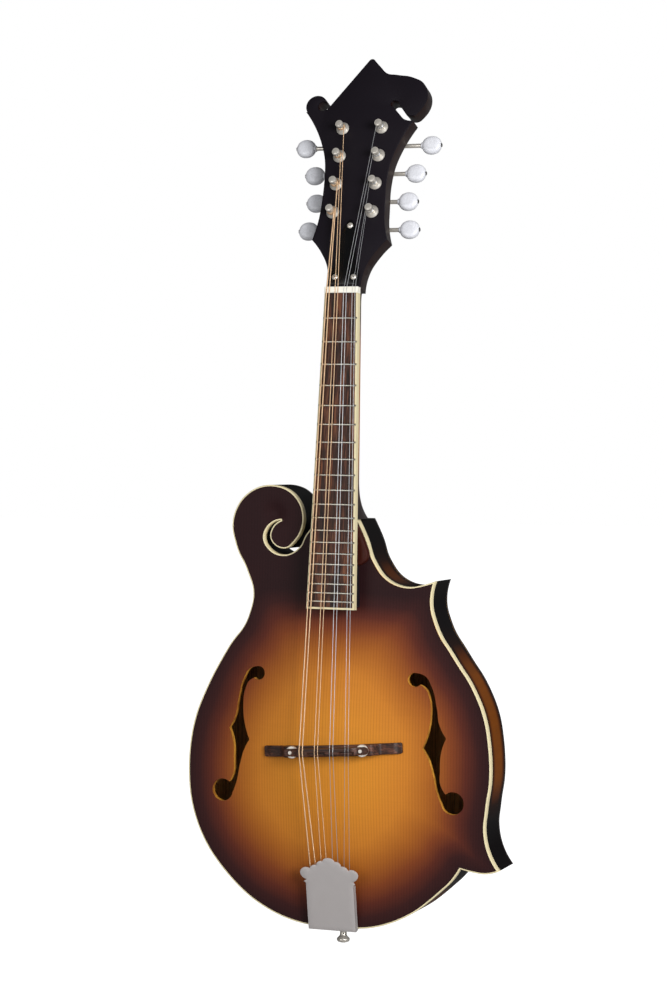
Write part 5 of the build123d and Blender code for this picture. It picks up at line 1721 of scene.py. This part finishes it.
# ---- tailpiece -------------------------------------------------------------------------------------
@dataclass
class Tailpiece:
    """The cover over the string hooks, and the strap button.

    Args:
        width: the cover's width.
        length: its length.
        start: y and z of its lower edge.
        rise: how much further forward its crest stands.
        sheet: its thickness.
        wall: length and depth of its side walls.
    """

    width: float = 39.5
    length: float = 60.0
    start: tuple = (-26.2, -1.4)
    rise: float = 12.6
    sheet: float = 1.0
    wall: tuple = (37.0, 4.2)

    def place(self) -> Place:
        """The cover's own plane."""
        lean = math.atan2(self.rise, self.length)
        return Place(
            (0, *self.start), (0, -math.sin(lean), math.cos(lean)), (0, -math.cos(lean), -math.sin(lean)))

    def cover(self) -> None:
        """The stamped cover: a plate with a scalloped crest and two folded sides."""
        half = self.width / 2
        side = self.length - 21.5
        right = [
            [(half, 0), (half, side)],
            [(half, side), (half + 1.6, side + 1.4)],
            [(half + 1.6, side + 1.4), (half - 0.9, side + 3.0)],
            [(half - 0.9, side + 3.0), (half + 2.4, side + 4.6), (half + 4.2, side + 9.2),
             (half + 0.6, side + 12.8), (half - 3.8, side + 12.2)],
            [(half - 3.8, side + 12.2), (half - 6.6, side + 15.0), (half - 9.4, side + 15.2)],
            [(half - 9.4, side + 15.2), (half - 11.6, side + 18.4), (half - 14.6, side + 18.6)],
            [(half - 14.6, side + 18.6), (half - 16.8, side + 21.0), (0, side + 21.5)],
        ]
        loop = without_doubles(Outline(right + mirrored(right) + [[(-half, 0), (half, 0)]], 0.8).points)
        slab_piece(
            "stamped_cover", Region([loop]), self.place(), 0.0, self.sheet, Finishes.SATIN_NICKEL,
            edge=0.55, spacing=4.0, body="cover", replaces=("tailpiece_cover",))
        walls = []
        length, depth = self.wall
        top = 0.45
        quads = np.vstack([grid_quads(2, 4, wrap_columns=True), [(3, 2, 1, 0), (4, 5, 6, 7)]])
        for hand in SIDES:
            outer, inner = hand * half, hand * (half - self.sheet)
            section = ((outer, top), (outer, -depth), (inner, -depth), (inner, top))
            corners = np.array([(x, v, h) for v in (0.0, length) for x, h in section])
            walls.append((self.place().at(corners), quads if hand == TREBLE else quads[:, ::-1]))
        points, faces = joined(walls)
        make_piece(
            "cover_folds", points, faces, Finishes.SATIN_NICKEL, body="cover",
            replaces=("tailpiece_cover",))

    def strap_button(self) -> None:
        """The turned strap button below the tail."""
        profile = [
            (0, 13.5), (2.7, 13.5), (2.7, -1.2), (4.7, -1.2), (4.7, -2.2), (4.2, -2.6), (2.9, -3.4),
            (2.7, -6.0), (2.75, -9.4), (3.6, -10.8), (4.7, -11.7), (5.2, -12.7), (5.1, -13.8), (4.3, -14.7),
            (2.6, -15.3), (0, -15.4)]
        points, faces = turned(profile, (0, 0, 0), (0, 0, 1), 48)
        make_piece("strap_knob", points, faces, Finishes.NICKEL, replaces=("strap_button",))

    def build(self) -> None:
        """Makes the tailpiece's pieces."""
        self.cover()
        self.strap_button()


# ---- tuners ----------------------------------------------------------------------------------------
@dataclass
class Tuners:
    """Buttons, bushings and post tips.

    Args:
        button: size across, along the neck and through.
        reach: each button's middle from the centre line, from the nut upwards.
        worm: how far the shaft lies below the post's middle, along the neck.
        shaft_depth: height of the shaft's middle on the headstock's plane.
        fullness: exponents of the button's outline, its side and its height.
    """

    button: tuple = (16.0, 15.0, 8.0)
    reach: tuple = (42.5, 38.8, 42.8, 53.2)
    worm: float = 7.7
    shaft_depth: float = -20.0
    fullness: tuple = (0.92, 0.55, 0.8)

    def posts(self) -> list:
        """Each tuner's number, side and rank from the nut. The first four are on the bass side."""
        return [(i + 1, SIDES[i // 4], i % 4) for i in range(8)]

    def knob(self, tuner: int, side: int, rank: int) -> None:
        """One button: a superellipsoid cushion with a short collar, and the pin at its outer end.

        x = A cos(p)^e cos(q)^f, t = B cos(p)^e sin(q)^f and d = C sin(p)^g, where powers keep their signs.

        Args:
            tuner: the tuner's number.
            side: which side of the headstock.
            rank: its rank from the nut.
        """
        p = np.linspace(-np.pi / 2, np.pi / 2, 25)[:, None]
        q = np.linspace(0, 2 * np.pi, 48, endpoint=False)[None]

        def power(value: np.ndarray, exponent: float) -> np.ndarray:
            """A power that keeps the sign."""
            return np.sign(value) * np.abs(value) ** exponent

        a, b, c = (size / 2 for size in self.button)
        plan, flank, dome = self.fullness
        x = a * power(np.cos(p), flank) * power(np.cos(q), plan)
        t = b * power(np.cos(p), flank) * power(np.sin(q), plan)
        d = c * power(np.sin(p), dome) + 0 * q
        middle = np.array([
            side * self.reach[rank], POST_FIRST + rank * POST_PITCH - self.worm, self.shaft_depth])
        grid = np.stack([side * x, t, d], -1).reshape(-1, 3) + middle
        cushion = (HEAD.at(grid), grid_quads(25, 48, wrap_columns=True))
        if side == BASS:
            cushion = (cushion[0], cushion[1][:, ::-1])
        axis = (side, 0, 0)
        start = HEAD.at(middle - np.array([side * (a + 1.6), 0, 0]))
        ring = turned(
            [(1.72, 0.9), (2.3, 0.9), (2.6, 1.3), (2.6, 2.4), (1.72, 3.2)], start, axis, 32, wrap=True)
        points, faces = joined([cushion, ring])
        make_piece(
            f"button_{tuner}", points, faces, Finishes.PEARL, body=f"tuner_knob_{tuner}",
            replaces=(f"tuner_button_{tuner}",))
        end = HEAD.at(middle + np.array([side * (a - 1.1), 0, 0]))
        pin = turned([(0, -1.0), (1.7, -1.0), (1.7, 1.3), (1.3, 1.6), (0, 1.6)], end, axis, 20)
        make_piece(f"button_pin_{tuner}", *pin, Finishes.STEEL, body=f"tuner_knob_{tuner}")

    def hardware(self) -> None:
        """Domed bushings round the posts and the flared tips of the posts."""
        ring = [
            (3.05, 0.02), (5.2, 0.02), (5.3, 0.5), (5.0, 1.0), (4.3, 1.7), (3.85, 2.3), (3.6, 2.7),
            (3.05, 2.7)]
        tip = [
            (0, 4.5), (2.2, 4.5), (2.25, 6.6), (2.6, 7.4), (3.0, 8.0), (3.0, 9.3), (2.6, 9.9), (1.7, 10.2),
            (0, 10.3)]
        collars = []
        for tuner, side, rank in self.posts():
            middle = HEAD.at([side * POST_ROW, POST_FIRST + rank * POST_PITCH, 0])
            collars.append(turned(ring, middle, HEAD.out, 44, wrap=True))
            points, faces = turned(tip, middle, HEAD.out, 32)
            make_piece(f"post_tip_{tuner}", points, faces, Finishes.NICKEL, body=f"string_post_{tuner}")
        points, faces = joined(collars)
        make_piece("domed_bushings", points, faces, Finishes.NICKEL, replaces=("post_bushings",))

    def build(self) -> None:
        """Makes every tuner's visible pieces."""
        for tuner, side, rank in self.posts():
            self.knob(tuner, side, rank)
        self.hardware()


# ---- frame nodes that stay -------------------------------------------------------------------------
KEPT_NODES = {
    Finishes.INNER_WOOD: ("linings", "head_block", "point_blocks", "tail_block", "tone_bars"),
    Finishes.STEEL: ("truss_rod", "tailpiece_screws"),
    Finishes.SATIN_NICKEL: ("tailpiece_base", "tuner_plate_bass", "tuner_plate_treble"),
    Finishes.NICKEL: ("tuner_plate_screws",) + tuple(
        f"tuner_{kind}_{number}" for kind in ("worm", "post") for number in range(1, 9)),
}


def dress_kept_nodes() -> None:
    """Gives each frame node that stays visible its finish."""
    for finish, names in KEPT_NODES.items():
        for name in names:
            dress(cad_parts[name], finish)
            log.info("%s: kept, %s", name, finish.value.name)


# ---- studio ----------------------------------------------------------------------------------------
@dataclass
class Studio:
    """Pale floor, soft light and the camera.

    Args:
        target: the point that the camera looks at.
        distance: camera to target.
        azimuth: degrees round to the treble side.
        elevation: degrees above the horizon.
        roll: degrees.
        lens: focal length on a frame as tall as film.
        film: that height in millimetres.
        aim: the point that the lights face.
        lights: name, place, edge and watts of each light.
        floor_height: z of the floor.
        floor_radius: how far the floor reaches.
        sky: strength of the surroundings for the camera, for soft light, and for all else.
        glow: strength of the floor's own light for the camera and for all else.
    """

    target: tuple = (-5.4, -22.0, 336.6)
    distance: float = 1971.4
    azimuth: float = 19.54
    elevation: float = 1.08
    roll: float = 0.76
    lens: float = 90.36
    film: float = 36.0
    aim: tuple = (0, 0, 250)
    lights: tuple = (
        ("key", (1250, -1150, 650), 700, 29), ("fill", (-700, -1900, 500), 1100, 9),
        ("behind", (300, 1700, 900), 1400, 1))
    floor_height: float = -15.5
    floor_radius: float = 12000.0
    sky: tuple = (0.95, 0.26, 0.05)
    glow: tuple = (1.0, 0.05)

    def camera(self) -> None:
        """The camera: it looks along f, and its right and up directions are turned by the roll."""
        yaw, pitch, roll = (math.radians(v) for v in (self.azimuth, self.elevation, self.roll))
        right = Vector((math.cos(yaw), math.sin(yaw), 0))
        level = Vector((-math.sin(yaw), math.cos(yaw), 0))
        forward = math.cos(pitch) * level - math.sin(pitch) * Vector((0, 0, 1))
        up = right.cross(forward)
        across = math.cos(roll) * right + math.sin(roll) * up
        above = -math.sin(roll) * right + math.cos(roll) * up
        place = (Vector(self.target) - self.distance * forward) * MM
        data = bpy.data.cameras.new("camera")
        data.sensor_fit = "VERTICAL"
        data.sensor_height = self.film
        data.lens = self.lens
        data.clip_end = 50.0
        made = in_scene("camera", data)
        axes = Matrix((across, above, -forward)).transposed().to_4x4()
        made.matrix_world = Matrix.Translation(place) @ axes
        bpy.context.scene.camera = made

    def light(self, name: str, place: tuple, size: float, power: float) -> None:
        """A square soft light.

        Args:
            name: the light's name.
            place: where it stands.
            size: its edge.
            power: watts.
        """
        data = bpy.data.lights.new(name, "AREA")
        data.shape = "SQUARE"
        data.size = size * MM
        data.energy = power
        facing = (Vector(place) - Vector(self.aim)).to_track_quat("Z", "Y").to_matrix().to_4x4()
        in_scene(name, data).matrix_world = Matrix.Translation(Vector(place) * MM) @ facing

    def floor(self) -> None:
        """A wide round floor in pale paint that glows enough to hide its own far edge."""
        rim = circle(0, 0, self.floor_radius, 64)
        points = np.column_stack([rim, np.full(len(rim), self.floor_height)]) * MM
        mesh = bpy.data.meshes.new("floor")
        mesh.from_pydata(points.tolist(), [], [list(range(len(rim)))])
        made = in_scene("floor", mesh)
        paint = bpy.data.materials.new("pale studio floor")
        tree = empty_tree(paint)
        path = add(tree, "LightPath").outputs["Is Camera Ray"]
        seen, rest = self.glow
        glow = add(tree, "Math", {0: path, 1: seen, 2: rest}, operation="MULTIPLY_ADD").outputs[0]
        shader = add(tree, "BsdfPrincipled", {
            "Base Color": (0.35, 0.35, 0.35, 1), "Roughness": 1.0, "Specular IOR Level": 0.0,
            "Emission Color": (1, 1, 1, 1), "Emission Strength": glow})
        add(tree, "OutputMaterial", {"Surface": shader.outputs[0]})
        mesh.materials.append(paint)

    def world(self) -> None:
        """White surroundings that the camera sees at full strength and that light the object softly."""
        made = bpy.data.worlds.new("white studio")
        tree = empty_tree(made)
        path = add(tree, "LightPath").outputs
        seen, soft, rest = self.sky
        strength = rest
        for ray, share in (("Is Diffuse Ray", soft), ("Is Camera Ray", seen)):
            strength = add(
                tree, "Math", {0: path[ray], 1: share, 2: strength}, operation="MULTIPLY_ADD").outputs[0]
        sky = add(tree, "Background", {"Color": (1, 1, 1, 1), "Strength": strength})
        add(tree, "OutputWorld", {"Surface": sky.outputs[0]})
        bpy.context.scene.world = made

    def build(self) -> None:
        """Sets up the studio."""
        self.camera()
        for light in self.lights:
            self.light(*light)
        self.floor()
        self.world()
        bpy.context.scene.view_settings.view_transform = "Standard"


def main() -> None:
    """Builds the studio and every assembly in order."""
    logging.basicConfig(level=logging.INFO, format="%(message)s")
    Studio().build()
    strings = Strings()
    Body().build()
    Neck().build()
    Fingerboard().build(strings.nut_places())
    strings.build()
    Bridge().build()
    Tailpiece().build()
    Tuners().build()
    dress_kept_nodes()


if __name__ == "__main__":
    main()
